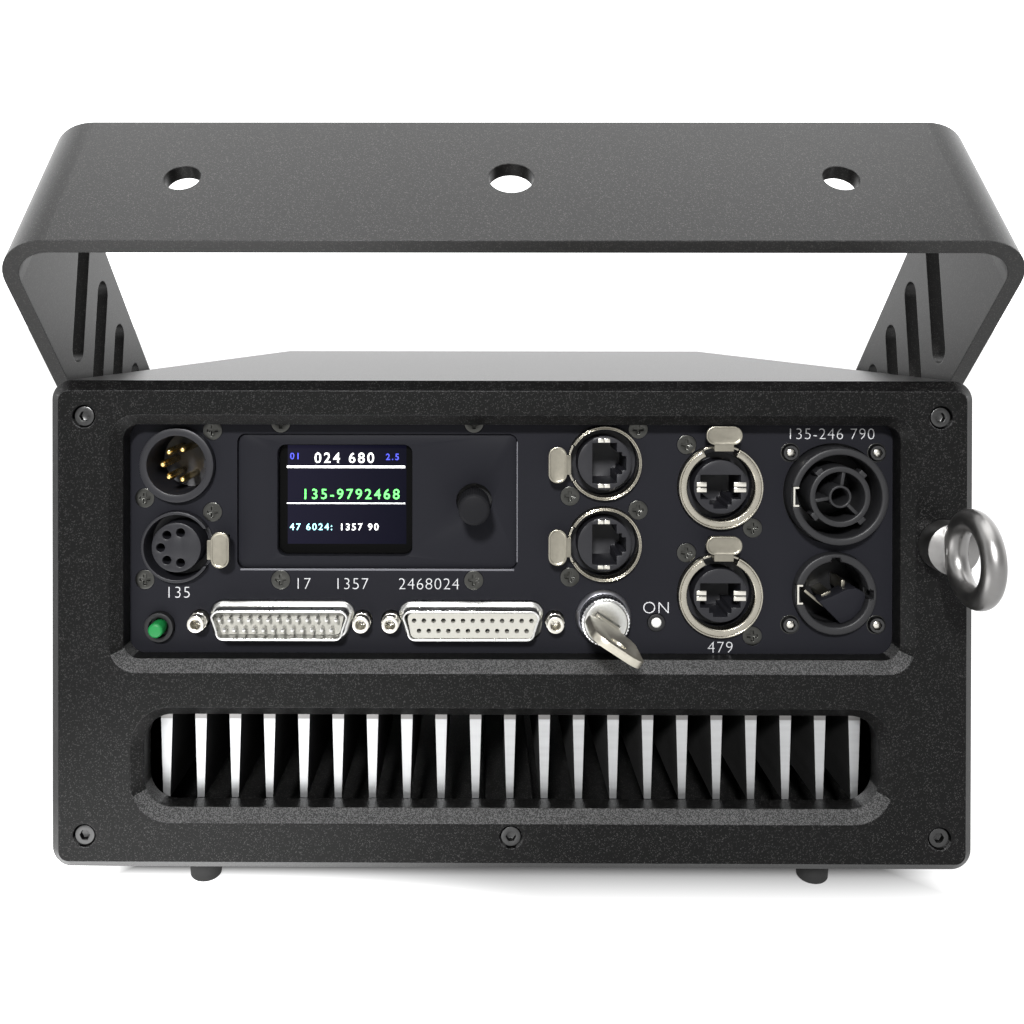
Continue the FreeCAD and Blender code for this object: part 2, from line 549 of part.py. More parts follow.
# Eye bolt: a turned collar on a threaded shank, with a forged ring
def make_eye_bolt():
    collar = turned("eye_collar", [
        (0, 0), (D.eye_collar_radius, 0), (D.eye_collar_radius, D.eye_straight),
        (D.eye_neck_radius, D.eye_collar_length), (0, D.eye_collar_length)], (EYE_X, REAR, EYE_Z), "-y")
    shank = rod("eye_shank", (EYE_X, REAR, EYE_Z), D.eye_shank_radius, D.eye_shank_length)
    loop = doc.addObject("Part::Torus", "eye_ring")
    bind(loop, "Radius1", D.eye_ring_radius)
    bind(loop, "Radius2", D.eye_wire_radius)
    place(loop, (EYE_X, REAR - D.eye_collar_length - D.eye_ring_radius, EYE_Z), TURNS["x"])
    node(fuse("eye_whole", [collar, shank, loop]), "eye_bolt")


# Sleeve: one extruded tube with round long edges and screw posts in its corners, bored for the
# yoke studs, with a boss behind the eye bolt
def make_housing_shell():
    length = FRONT_BACK - PANEL
    tube = rounded("shell_outer", (-BODY_HALF, PANEL, FLOOR), (BODY_WIDTH, length, BODY_HEIGHT),
                   D.corner_radius)
    room = box("shell_room", (-INNER_HALF, PANEL, INNER_FLOOR),
               (2 * INNER_HALF, length, BODY_HEIGHT - 2 * D.shell_wall))
    posts = []
    for side, x in (("left", -INNER_HALF), ("right", INNER_HALF - POST_SIDE)):
        for level, z in (("low", INNER_FLOOR), ("top", TOP - D.shell_wall - POST_SIDE)):
            posts.append(box(f"post_{level}_{side}", (x, PANEL, z), (POST_SIDE, length, POST_SIDE)))
    posts.append(box("post_middle", (-D.rail_width / 2, PANEL, INNER_FLOOR),
                     (D.rail_width, length, D.rail_height)))
    posts.append(box("post_eye", (INNER_HALF - POST_SIDE, PANEL, EYE_Z - D.eye_boss_height / 2),
                     (POST_SIDE, D.eye_boss_length, D.eye_boss_height)))
    hollow = cut("shell_hollow", room, posts)
    bore = rod("shell_bores", (-BODY_HALF, PIVOT_Y, PIVOT_Z), D.stud_radius + D.running_gap, BODY_WIDTH, "x")
    screws = [rod(f"shell_screw{n}_{side}", (x, y, z), D.shank_radius + D.fit_gap, D.screw_length, along)
              for side, y, along in (("rear", PANEL, "y"), ("front", FRONT_BACK, "-y"))
              for n, (x, z) in enumerate(SCREW_SPOTS)]
    eye = rod("shell_eye", (EYE_X, PANEL, EYE_Z), D.eye_shank_radius + D.fit_gap, D.eye_shank_length)
    node(cut("shell_cut", tube, [hollow, bore, eye] + screws), "housing_shell")


def make_feet():
    profile = [(0, 0), (D.foot_tip_radius, 0), (D.foot_top_radius, D.foot_height), (0, D.foot_height)]
    x = BODY_HALF - D.foot_inset_x
    spots = [(s * x, y) for s in (-1, 1) for y in (REAR + D.foot_inset_y, FRONT - D.foot_inset_y)]
    feet = [turned(f"foot{n}", profile, (x, y, ZERO), "z") for n, (x, y) in enumerate(spots)]
    node(group("feet_group", feet), "feet")


# Finned base: an extruded plate that carries the optics, with tapered fins hanging below it
def make_heat_sink():
    outline = [(-INNER_HALF, D.sink_thickness), (-INNER_HALF, 0)]
    for n in range(FIN_COUNT):
        mid = D.fin_pitch * (n - (FIN_COUNT - 1) / 2)
        outline += [(mid - D.fin_root / 2, 0), (mid - D.fin_tip / 2, -D.fin_height),
                    (mid + D.fin_tip / 2, -D.fin_height), (mid + D.fin_root / 2, 0)]
    outline += [(INNER_HALF, 0), (INNER_HALF, D.sink_thickness)]
    node(padded("sink", "XZ_Plane", outline, SINK_FRONT - SINK_REAR, (ZERO, SINK_REAR, SINK_LOW), flip=True),
         "base_heat_sink")


# Sockets with a release tab: centre, outer radius, lip width, the face's radius, how far the lip
# stands out of the panel, and the way from the centre to the tab
Socket = namedtuple("Socket", "tab x z radius wall face stand way")
XLR_OUT = Socket("xlr_tab", XLR_X, XLR_FEMALE_Z, D.xlr_female_radius, D.xlr_lip, D.xlr_face_radius,
                 D.xlr_stand, "+x")
NETWORK = [Socket(f"network_tab_{n}", NET_MID_X, z, D.net_mid_radius, D.net_mid_wall, D.net_insert_radius,
                  D.net_ring_stand, "-x") for n, z in ((1, NET_MID_UPPER_Z), (2, NET_MID_LOWER_Z))]
NETWORK += [Socket(f"network_tab_{n}", NET_END_X, z, D.net_end_radius, D.net_end_wall, D.net_insert_radius,
                   D.net_ring_stand, "+z") for n, z in ((3, NET_END_UPPER_Z), (4, NET_END_LOWER_Z))]


def reach_box(name, spot, near, far, half, y, depth):
    """A block laid out from a socket's centre towards its tab, between two distances from the centre."""
    span = (far - near, depth, 2 * half)
    if spot.way == "+x":
        return box(name, (spot.x + near, y, spot.z - half), span)
    if spot.way == "-x":
        return box(name, (spot.x - far, y, spot.z - half), span)
    return box(name, (spot.x - half, y, spot.z + near), (2 * half, depth, far - near))


def tab_middle(spot):
    return spot.radius + D.tab_gap + D.tab_breadth / 2


def stem_hole(name, spot, y, depth):
    """Room for a release tab's stem to slide in."""
    mid, half = tab_middle(spot), D.tab_stem / 2 + D.moving_gap
    return reach_box(name, spot, mid - half, mid + half, D.tab_stem_length / 2 + D.moving_gap, y, depth)


def lip_break(name, spot):
    """The break in a socket's lip, as wide as the tab, that the tab's tongue slides in."""
    return reach_box(name, spot, spot.face, spot.radius + D.tab_gap, D.tab_length / 2 + D.moving_gap,
                     PANEL - spot.stand, spot.stand)


def make_tabs():
    """Release tabs: a pill-shaped plate on a stem, and a neck with a tongue in the socket's lip."""
    under = D.tab_lift + D.tab_travel + D.moving_gap
    y = PANEL - under - D.tab_thickness
    for spot in [XLR_OUT] + NETWORK:
        near, mid = spot.radius + D.tab_gap, tab_middle(spot)
        plate = reach_box(f"{spot.tab}_plate", spot, near, near + D.tab_breadth, D.tab_length / 2, y,
                          D.tab_thickness)
        pill = soften("Fillet", f"{spot.tab}_pill", plate, D.tab_radius, lambda e: runs_along(e, "y"))
        inner = spot.radius - spot.wall - D.tab_neck_lap
        neck = reach_box(f"{spot.tab}_neck", spot, inner, mid, D.tab_neck / 2, y, D.tab_thickness)
        tongue = reach_box(f"{spot.tab}_tongue", spot, inner, spot.radius, D.tab_neck / 2, y,
                           D.tab_thickness + D.tab_lift)
        stem = reach_box(f"{spot.tab}_stem", spot, mid - D.tab_stem / 2, mid + D.tab_stem / 2,
                         D.tab_stem_length / 2, PANEL - under, under + D.panel_thickness)
        node(fuse(f"{spot.tab}_whole", [pill, neck, tongue, stem]), spot.tab)


# Connector panel: a dark plate behind the frame's window, with a hole for every connector
def xlr_screw_spots(z):
    return [(XLR_X + s * D.xlr_screw, z + s * D.xlr_screw) for s in (-1, 1)]


def net_screw_spots(spot):
    """A network socket's two flange screws, on one diagonal or the other."""
    if spot.way == "-x":
        return [(spot.x + s * D.net_mid_screw_x, spot.z + s * D.net_mid_screw_z) for s in (-1, 1)]
    return [(spot.x + s * D.net_end_screw_x, spot.z - s * D.net_end_screw_z) for s in (-1, 1)]


def module_screw_spots():
    half = D.display_height / 2 + D.module_screw_gap
    return [(DISPLAY_X + sx * D.module_screw_x, DISPLAY_Z + sz * half) for sx in (-1, 1) for sz in (-1, 1)]


def panel_screw_spots():
    spots = xlr_screw_spots(XLR_MALE_Z) + xlr_screw_spots(XLR_FEMALE_Z) + module_screw_spots()
    for spot in NETWORK:
        spots += net_screw_spots(spot)
    return spots


# The power flange's screws clear the upper socket's base on its diagonals
POWER_SCREW_REACH = D.power_base_radius + D.button_head_radius + D.power_screw_gap
POWER_SCREW_TURN = math.radians(D.power_screw_angle.value)
POWER_SCREW_X = POWER_SCREW_REACH * math.cos(POWER_SCREW_TURN)
POWER_SCREW_TOP = POWER_UPPER_Z + POWER_SCREW_REACH * math.sin(POWER_SCREW_TURN)
POWER_SCREW_LOW = POWER_LOWER_Z - D.power_lower_radius + D.power_screw_tuck


def power_screw_spots():
    return [(POWER_X + s * POWER_SCREW_X, z) for s in (-1, 1) for z in (POWER_SCREW_TOP, POWER_SCREW_LOW)]


def dsub_block(name, x, grow, y, length):
    """A block with a D-sub's outline, larger or smaller all round, with round corners."""
    top, low, high = D.dsub_half_top + grow, D.dsub_half_low + grow, D.dsub_half_height + grow
    outline = [(x - low, DSUB_Z - high), (x + low, DSUB_Z - high), (x + top, DSUB_Z + high),
               (x - top, DSUB_Z + high)]
    block = padded(f"{name}_block", "XZ_Plane", outline, length, (ZERO, y, ZERO), flip=True)
    return soften("Fillet", name, block, D.dsub_corner + grow, lambda e: runs_along(e, "y"))


DSUBS = (("male", DSUB_MALE_X), ("female", DSUB_FEMALE_X))


def through(name, x, z, radius):
    return rod(name, (x, PANEL, z), radius, D.panel_thickness)


def make_panel():
    low = (WINDOW_LEFT - D.panel_lap, PANEL, WINDOW_LOW - D.panel_lap)
    plate = box("panel_plate", low, (WINDOW_WIDTH + 2 * D.panel_lap, D.panel_thickness,
                                     WINDOW_TOP - WINDOW_LOW + 2 * D.panel_lap))
    display_low = (DISPLAY_X - D.display_width / 2, PANEL, DISPLAY_Z - D.display_height / 2)
    tools = [rounded("display_cutout", display_low, (D.display_width, D.panel_thickness, D.display_height),
                     D.display_radius)]
    round_holes = [("male", XLR_X, XLR_MALE_Z, D.xlr_male_radius),
                   ("female", XLR_X, XLR_FEMALE_Z, D.xlr_female_radius),
                   ("upper", POWER_X, POWER_UPPER_Z, D.power_base_radius),
                   ("lower", POWER_X, POWER_LOWER_Z, D.power_lower_radius),
                   ("key", KEY_X, KEY_Z, D.key_barrel_radius), ("led", LED_X, LED_Z, D.led_bezel_radius),
                   ("button", BUTTON_X, BUTTON_Z, D.bezel_radius)]
    round_holes += [(spot.tab, spot.x, spot.z, spot.radius) for spot in NETWORK]
    for name, x, z, radius in round_holes:
        tools.append(through(f"panel_{name}", x, z, radius + D.fit_gap))
    for spot in [XLR_OUT] + NETWORK:
        tools.append(stem_hole(f"panel_{spot.tab}_stem", spot, PANEL, D.panel_thickness))
    for name, x in DSUBS:
        tools.append(dsub_block(f"panel_dsub_{name}", x, D.dsub_collar + D.fit_gap, PANEL, D.panel_thickness))
        for s in (-1, 1):
            tools.append(through(f"panel_jack_{name}{s + 1}", x + s * D.jackscrew_x, DSUB_Z,
                                 D.jackscrew_radius + D.fit_gap))
    for n, (x, z) in enumerate(panel_screw_spots()):
        tools.append(cone(f"panel_sink{n}", (x, PANEL, z), D.flat_head_radius + D.fit_gap, D.shank_radius,
                          D.flat_head_height))
        tools.append(through(f"panel_screw{n}", x, z, D.shank_radius))
    for n, (x, z) in enumerate(power_screw_spots()):
        tools.append(through(f"panel_power_screw{n}", x, z, D.shank_radius))
    node(cut("panel_cut", plate, tools), "connector_panel")


def make_panel_screws():
    """Countersunk screws with a cross in the head, and button heads with a hexagon."""
    thread = D.shank_radius - D.fit_gap
    flat = []
    for n, (x, z) in enumerate(panel_screw_spots()):
        head = cone(f"flat_head{n}", (x, PANEL, z), D.flat_head_radius, thread, D.flat_head_height)
        shank = rod(f"flat_shank{n}", (x, PANEL, z), thread, D.panel_thickness + D.flange_thickness)
        long, wide = D.cross_length, D.cross_width
        cross = [box(f"flat_cross{n}_{way}", (x - a / 2, PANEL, z - b / 2), (a, D.cross_depth, b))
                 for way, a, b in (("across", long, wide), ("up", wide, long))]
        flat.append(cut(f"flat_screw{n}", fuse(f"flat_whole{n}", [head, shank]), cross))
    node(group("flat_screws", flat), "panel_screws")
    domed = []
    for n, (x, z) in enumerate(power_screw_spots()):
        head = cone(f"button_head{n}", (x, PANEL, z), D.button_head_radius,
                    D.button_head_radius - D.button_head_height / 2, D.button_head_height, "-y")
        shank = rod(f"button_shank{n}", (x, PANEL, z), thread, D.panel_thickness + D.flange_thickness)
        socket = hexagon(f"button_hex{n}", (x, PANEL - D.button_head_height, z), D.hex_radius,
                         D.button_head_height)
        domed.append(cut(f"button_screw{n}", fuse(f"button_whole{n}", [head, shank]), [socket]))
    node(group("button_screws", domed), "power_screws")


# Display module: a plate whose raised middle lies a little below the panel's face in its cut-out,
# with a deep window for the screen and a hole for the knob
DISPLAY_FACE = PANEL + D.display_sink
DISPLAY_BACK = PANEL_BACK + D.display_thickness
KNOB_X = DISPLAY_X + D.knob_offset


def make_display():
    width, height = D.display_width - 2 * D.fit_gap, D.display_height - 2 * D.fit_gap
    raised = rounded("display_raised", (DISPLAY_X - width / 2, DISPLAY_FACE, DISPLAY_Z - height / 2),
                     (width, DISPLAY_BACK - DISPLAY_FACE, height), D.display_radius)
    tall = D.display_height + 2 * (D.module_screw_gap + D.flange_margin)
    backing = box("display_backing", (DISPLAY_X - width / 2, PANEL_BACK, DISPLAY_Z - tall / 2),
                  (width, D.display_thickness, tall))
    x, z = DISPLAY_X + D.screen_offset, DISPLAY_Z + D.screen_lift
    wide, high = D.screen_width + 2 * D.fit_gap, D.screen_height + 2 * D.fit_gap
    window = rounded("display_window", (x - wide / 2, DISPLAY_FACE, z - high / 2),
                     (wide, DISPLAY_BACK - DISPLAY_FACE, high), D.screen_radius)
    hole = rod("display_knob_hole", (KNOB_X, DISPLAY_FACE, DISPLAY_Z), D.knob_hole,
               DISPLAY_BACK - DISPLAY_FACE)
    screws = [rod(f"display_screw{n}", (sx, PANEL_BACK, sz), D.shank_radius, D.display_thickness)
              for n, (sx, sz) in enumerate(module_screw_spots())]
    solid = fuse("display_solid", [raised, backing])
    node(cut("display_cut", solid, [window, hole] + screws), "display_plate")
    slab_low = (x - D.screen_width / 2, DISPLAY_FACE + D.screen_sink, z - D.screen_height / 2)
    node(rounded("screen_slab", slab_low, (D.screen_width, D.screen_thickness, D.screen_height),
                 D.screen_radius), "display_screen")


def make_encoder():
    x, z = KNOB_X, DISPLAY_Z
    case = box("encoder_case", (x - D.encoder_side / 2, DISPLAY_BACK, z - D.encoder_side / 2),
               (D.encoder_side, D.encoder_depth, D.encoder_side))
    start = DISPLAY_BACK - D.encoder_bush_length
    bush = rod("encoder_bushing", (x, start, z), D.encoder_bush, D.encoder_bush_length)
    bore = rod("encoder_bore", (x, start, z), D.encoder_radius + D.running_gap,
               D.encoder_bush_length + D.encoder_depth)
    node(cut("encoder_cut", fuse("encoder_solid", [case, bush]), [bore]), "encoder_body")
    tip = PANEL - D.knob_stand + D.knob_cap
    end = DISPLAY_BACK + D.encoder_depth - D.encoder_travel
    node(rod("encoder_spindle", (x, tip, z), D.encoder_radius, end - tip), "encoder_shaft")
    base = PANEL - D.encoder_travel - D.moving_gap
    length = base - PANEL + D.knob_stand
    knob = turned("knob_turned", [
        (0, 0), (D.knob_radius, 0), (D.knob_radius, length - D.knob_edge),
        (D.knob_radius - D.knob_edge, length), (0, length)], (x, base, z), "-y")
    hole = rod("knob_bore", (x, base, z), D.encoder_radius + D.running_gap,
               length - D.knob_cap + D.moving_gap, "-y")
    node(cut("knob_cut", knob, [hole]), "encoder_knob")


# Five-pin sockets: the male one is a plain sleeve round its pins, the female one has a deep groove
# round its face
def xlr_flange(name, z):
    return box(name, (XLR_X - XLR_FLANGE, PANEL_BACK, z - XLR_FLANGE),
               (2 * XLR_FLANGE, D.flange_thickness, 2 * XLR_FLANGE))


def xlr_screw_holes(name, z):
    return [rod(f"{name}_screw{n}", (sx, PANEL_BACK, sz), D.shank_radius, D.flange_thickness)
            for n, (sx, sz) in enumerate(xlr_screw_spots(z))]


def xlr_pin_spots(z):
    turns = [math.radians(angle) for angle in XLR_PIN_ANGLES]
    return [(XLR_X + D.xlr_pin_circle * math.cos(t), z + D.xlr_pin_circle * math.sin(t)) for t in turns]


def make_xlr_male():
    front, deep = PANEL - D.xlr_stand, PANEL + D.xlr_depth
    at = (XLR_X, front, XLR_MALE_Z)
    barrel = rod("male_barrel", at, D.xlr_male_radius, D.xlr_stand + D.xlr_depth + D.xlr_floor)
    solid = fuse("male_solid", [barrel, xlr_flange("male_flange", XLR_MALE_Z)])
    bore = rod("male_bore", at, D.xlr_male_bore, D.xlr_stand + D.xlr_depth)
    sleeve = cut("male_sleeve", solid, [bore] + xlr_screw_holes("male", XLR_MALE_Z))
    ridge = box("male_ridge", (XLR_X + D.xlr_male_bore - D.xlr_ridge_height, PANEL,
                               XLR_MALE_Z - D.xlr_ridge_width / 2),
                (2 * D.xlr_ridge_height, D.xlr_depth, D.xlr_ridge_width))
    node(fuse("male_whole", [sleeve, ridge]), "xlr_male_shell")
    radius, length, tip = D.xlr_pin_radius, D.xlr_pin_length, D.xlr_pin_tip
    profile = [(0, 0), (radius, 0), (radius, length - tip), (radius - tip, length), (0, length)]
    pins = [turned(f"male_pin{n}", profile, (px, deep, pz), "-y")
            for n, (px, pz) in enumerate(xlr_pin_spots(XLR_MALE_Z))]
    node(group("male_pins", pins), "xlr_male_pins")


def make_xlr_female():
    front = PANEL - D.xlr_stand
    at = (XLR_X, front, XLR_FEMALE_Z)
    barrel = rod("female_barrel", at, D.xlr_female_radius, D.xlr_stand + D.xlr_depth)
    solid = fuse("female_solid", [barrel, xlr_flange("female_flange", XLR_FEMALE_Z)])
    groove = ring("female_groove", at, D.xlr_female_radius - D.xlr_lip, D.xlr_face_radius, D.xlr_groove_depth)
    sockets = [rod(f"female_hole{n}", (px, front, pz), D.xlr_pin_radius + D.fit_gap, D.xlr_pin_length)
               for n, (px, pz) in enumerate(xlr_pin_spots(XLR_FEMALE_Z))]
    tab = [stem_hole("female_stem_hole", XLR_OUT, PANEL_BACK, D.flange_thickness),
           lip_break("female_lip_break", XLR_OUT)]
    tools = [groove] + sockets + tab + xlr_screw_holes("female", XLR_FEMALE_Z)
    node(cut("female_cut", solid, tools), "xlr_female_shell")


# Network sockets: a metal ring through the panel round an insert with a groove round its face
def jack_tools(name, spot, front):
    """The plug's opening and the two steps that its latch needs."""
    tools = []
    start = -D.jack_height / 2
    for step, wide, high in (("plug", D.jack_width, D.jack_height), ("notch", D.notch_width, D.notch_height),
                             ("latch", D.latch_width, D.latch_height)):
        if spot.way == "-x":
            low, span = (spot.x + start, front, spot.z - wide / 2), (high, D.jack_depth, wide)
        else:
            low, span = (spot.x - wide / 2, front, spot.z - start - high), (wide, D.jack_depth, high)
        tools.append(box(f"{name}_{step}", low, span))
        start = start + high
    return tools


def make_network():
    rings, inserts = [], []
    for spot in NETWORK:
        name = spot.tab.replace("tab", "socket")
        at = (spot.x, PANEL - D.net_ring_stand, spot.z)
        bore = spot.radius - spot.wall
        whole = ring(f"{name}_ring", at, spot.radius, bore, D.net_ring_stand + D.panel_thickness)
        rings.append(cut(f"{name}_broken", whole, [lip_break(f"{name}_break", spot)]))
        front = at[1] + D.net_insert_sink
        core_at = (spot.x, front, spot.z)
        core = rod(f"{name}_core", core_at, bore - D.fit_gap, D.net_insert_depth)
        screws = net_screw_spots(spot)
        half_x, half_z = ((D.net_mid_screw_x, D.net_mid_screw_z) if spot.way == "-x"
                          else (D.net_end_screw_x, D.net_end_screw_z))
        half_x, half_z = half_x + D.flange_margin, half_z + D.flange_margin
        flange = box(f"{name}_flange", (spot.x - half_x, PANEL_BACK, spot.z - half_z),
                     (2 * half_x, D.flange_thickness, 2 * half_z))
        tools = jack_tools(name, spot, front)
        tools.append(ring(f"{name}_groove", core_at, bore, D.net_insert_radius, D.net_groove_depth))
        tools.append(stem_hole(f"{name}_stem_hole", spot, PANEL_BACK, D.flange_thickness))
        tools += [rod(f"{name}_screw{n}", (sx, PANEL_BACK, sz), D.shank_radius, D.flange_thickness)
                  for n, (sx, sz) in enumerate(screws)]
        inserts.append(cut(f"{name}_insert", fuse(f"{name}_solid", [core, flange]), tools))
    node(group("network_ring_set", rings), "network_rings")
    node(group("network_insert_set", inserts), "network_inserts")


# Power sockets: inlet and outlet moulded on one flange behind the panel
def clip_notch(name, z, radius, front):
    """A notch in a socket's left wall, where its spring latch sits."""
    left = POWER_X - radius + D.clip_wall
    half = D.clip_height / 2 + D.fit_gap
    return box(name, (left, front, z - half), (D.clip_leg + D.clip_wire + D.fit_gap, D.clip_depth, 2 * half))


def clip(name, z, radius, front):
    """A latch bent from strip: a back and two legs."""
    left = POWER_X - radius + D.clip_wall + D.fit_gap
    back = box(f"{name}_back", (left, front, z - D.clip_height / 2),
               (D.clip_wire, D.clip_depth, D.clip_height))
    legs = [box(f"{name}_leg{n}", (left, front, low), (D.clip_leg, D.clip_depth, D.clip_wire))
            for n, low in enumerate((z - D.clip_height / 2, z + D.clip_height / 2 - D.clip_wire))]
    return fuse(name, [back] + legs)


def make_power():
    upper_front, lower_front = PANEL - D.power_upper_stand, PANEL - D.power_lower_stand
    upper_at, lower_at = (POWER_X, upper_front, POWER_UPPER_Z), (POWER_X, lower_front, POWER_LOWER_Z)
    low = POWER_SCREW_LOW - D.power_flange_margin
    high = POWER_SCREW_TOP + D.power_flange_margin
    half = POWER_SCREW_X + D.power_flange_margin
    flange = box("power_flange", (POWER_X - half, PANEL_BACK, low),
                 (2 * half, D.flange_thickness, high - low))
    upper = cone("power_upper", (POWER_X, PANEL, POWER_UPPER_Z), D.power_base_radius, D.power_upper_radius,
                 D.power_upper_stand, "-y")
    upper_back = rod("power_upper_back", (POWER_X, PANEL, POWER_UPPER_Z), D.power_base_radius, D.power_depth)
    lower = rod("power_lower", lower_at, D.power_lower_radius, D.power_lower_stand + D.power_depth)
    solid = fuse("power_solid", [flange, upper, upper_back, lower])
    depth = D.power_bore_depth
    lugs = [spoke(f"power_lug{n}", upper_at, D.power_core_bore, D.power_core_radius + D.power_lug_height,
                  D.power_lug_width, D.power_lug_length, angle) for n, angle in enumerate(LUG_ANGLES)]
    outer_room = cut("power_outer_room", ring("power_outer_ring", upper_at, D.power_upper_bore,
                                              D.power_core_radius, depth), lugs)
    spokes = [spoke(f"power_spoke{n}", upper_at, D.power_hub_bore, D.power_core_radius, D.power_spoke, depth,
                    angle) for n, angle in enumerate(SPOKE_ANGLES)]
    inner_room = cut("power_inner_room", ring("power_inner_ring", upper_at, D.power_core_bore,
                                              D.power_hub_radius, depth), spokes)
    lower_depth = D.power_lower_stand + depth
    tools = [outer_room, inner_room, rod("power_hub_hole", upper_at, D.power_hub_bore, depth),
             rod("power_lower_room", lower_at, D.power_lower_bore, lower_depth),
             clip_notch("upper_clip_notch", POWER_UPPER_Z, D.power_upper_radius, upper_front),
             clip_notch("lower_clip_notch", POWER_LOWER_Z, D.power_lower_radius, lower_front)]
    tools += [spoke(f"power_notch{angle}", lower_at, ZERO, D.power_lower_bore + D.power_notch_depth,
                    D.power_notch, lower_depth, angle) for angle in (0, 90)]
    tools += [rod(f"power_hole{n}", (px, PANEL_BACK, pz), D.shank_radius, D.flange_thickness)
              for n, (px, pz) in enumerate(power_screw_spots())]
    node(cut("power_cut", solid, tools), "power_socket")
    inside = (POWER_X, PANEL + depth - D.contact_length, POWER_LOWER_Z)
    blades = [spoke(f"contact{n}", inside, D.contact_circle - D.contact_width / 2,
                    D.contact_circle + D.contact_width / 2, D.contact_thickness, D.contact_length, angle)
              for n, angle in enumerate(CONTACT_ANGLES)]
    node(group("blades", blades), "power_contacts")
    clips = [clip("upper_clip", POWER_UPPER_Z, D.power_upper_radius, upper_front),
             clip("lower_clip", POWER_LOWER_Z, D.power_lower_radius, lower_front)]
    node(group("clips", clips), "power_clips")


# D-subs: a drawn metal shell with a collar at the panel, an insert with pins or holes, and jackscrews
def dsub_shell(name, x):
    front = PANEL - D.dsub_stand
    length = D.dsub_stand + D.panel_thickness
    outer = dsub_block(f"dsub_out_{name}", x, ZERO, front, length)
    collar_y = PANEL - D.dsub_collar_height
    collar = dsub_block(f"dsub_collar_{name}", x, D.dsub_collar, collar_y,
                        D.dsub_collar_height + D.panel_thickness)
    sloped = soften("Chamfer", f"dsub_slope_{name}", collar, D.dsub_collar_bevel,
                    lambda e: lies_at(e, "Y", collar_y))
    inner = dsub_block(f"dsub_in_{name}", x, -D.dsub_wall, front, length)
    return cut(f"dsub_shell_{name}", fuse(f"dsub_drawn_{name}", [outer, sloped]), [inner])


def dsub_contacts(x):
    return [(x + D.dsub_pitch * (n - (count - 1) / 2), DSUB_Z + row * D.dsub_row)
            for row, count in DSUB_ROWS for n in range(count)]


def dsub_insert(name, x, front, holes):
    core = dsub_block(f"dsub_core_{name}", x, -D.dsub_wall - D.fit_gap, front, PANEL_BACK - front)
    back = box(f"dsub_back_{name}", (x - DSUB_REACH, PANEL_BACK, DSUB_Z - DSUB_BACK_HALF),
               (2 * DSUB_REACH, D.dsub_depth, 2 * DSUB_BACK_HALF))
    tools = [rod(f"dsub_jack_{name}{s + 1}", (x + s * D.jackscrew_x, PANEL_BACK, DSUB_Z),
                 D.jackscrew_radius + D.fit_gap, D.jackscrew_depth) for s in (-1, 1)]
    return cut(f"dsub_insert_{name}", fuse(f"dsub_whole_{name}", [core, back]), tools + holes)


def jackscrews(name, x):
    """Hexagon posts with a round cup in front."""
    front = PANEL - D.jackscrew_stand
    posts = []
    for s in (-1, 1):
        at = (x + s * D.jackscrew_x, front, DSUB_Z)
        cup = rod(f"jack_cup_{name}{s + 1}", at, D.jackscrew_cup, D.jackscrew_stand)
        base = hexagon(f"jack_hex_{name}{s + 1}", (at[0], PANEL - D.jackscrew_hex, DSUB_Z),
                       D.jackscrew_radius, D.jackscrew_hex + D.panel_thickness + D.jackscrew_depth)
        whole = fuse(f"jack_whole_{name}{s + 1}", [cup, base])
        posts.append(cut(f"jackscrew_{name}{s + 1}", whole,
                         [rod(f"jack_bore_{name}{s + 1}", at, D.jackscrew_bore, D.jackscrew_stand)]))
    return posts


def make_dsubs():
    male_front = PANEL - D.dsub_stand + D.dsub_male_sink
    female_front = PANEL - D.dsub_stand + D.dsub_female_sink
    pin_front = male_front - D.dsub_pin_length
    pins = [rod(f"dsub_pin{n}", (px, pin_front, pz), D.dsub_pin_radius, D.dsub_pin_length)
            for n, (px, pz) in enumerate(dsub_contacts(DSUB_MALE_X))]
    holes = [rod(f"dsub_hole{n}", (px, female_front, pz), D.dsub_pin_radius + D.fit_gap, D.dsub_hole_depth)
             for n, (px, pz) in enumerate(dsub_contacts(DSUB_FEMALE_X))]
    inserts = [dsub_insert("male", DSUB_MALE_X, male_front, []),
               dsub_insert("female", DSUB_FEMALE_X, female_front, holes)]
    node(group("dsub_shell_pair", [dsub_shell(name, x) for name, x in DSUBS]), "dsub_shells")
    node(group("dsub_insert_pair", inserts), "dsub_inserts")
    node(group("dsub_pin_set", pins), "dsub_pins")
    node(group("jackscrew_set", [post for name, x in DSUBS for post in jackscrews(name, x)]), "jackscrews")


# Key switch: a barrel through the panel with a washer and a nut; the key turns with the rotor
def make_key_switch():
    front = PANEL - D.key_barrel_stand
    at = (KEY_X, front, KEY_Z)
    washer = rod("key_washer", (KEY_X, PANEL - D.key_washer_height, KEY_Z), D.key_washer_radius,
                 D.key_washer_height)
    barrel = rod("key_barrel", at, D.key_barrel_radius, D.key_barrel_stand + D.key_barrel_depth)
    nut = rod("key_nut", (KEY_X, PANEL_BACK, KEY_Z), D.key_nut_radius, D.key_nut_thickness)
    seat = rod("key_face_room", at, D.key_face_radius + D.running_gap,
               D.key_face_sink + D.key_face_depth + D.moving_gap)
    bore = rod("key_bore", at, D.key_rotor_radius + D.running_gap,
               D.key_face_sink + D.key_rotor_depth + D.moving_gap)
    node(cut("key_switch_cut", fuse("key_switch_solid", [washer, barrel, nut]), [seat, bore]), "key_switch")
    face = front + D.key_face_sink
    node(turned("key_plug", [(0, 0), (D.key_face_radius, 0), (D.key_face_radius, D.key_face_depth),
                             (D.key_rotor_radius, D.key_face_depth), (D.key_rotor_radius, D.key_rotor_depth),
                             (0, D.key_rotor_depth)], (KEY_X, face, KEY_Z)), "key_rotor")
    node(key_body((KEY_X, face, KEY_Z)), "key")


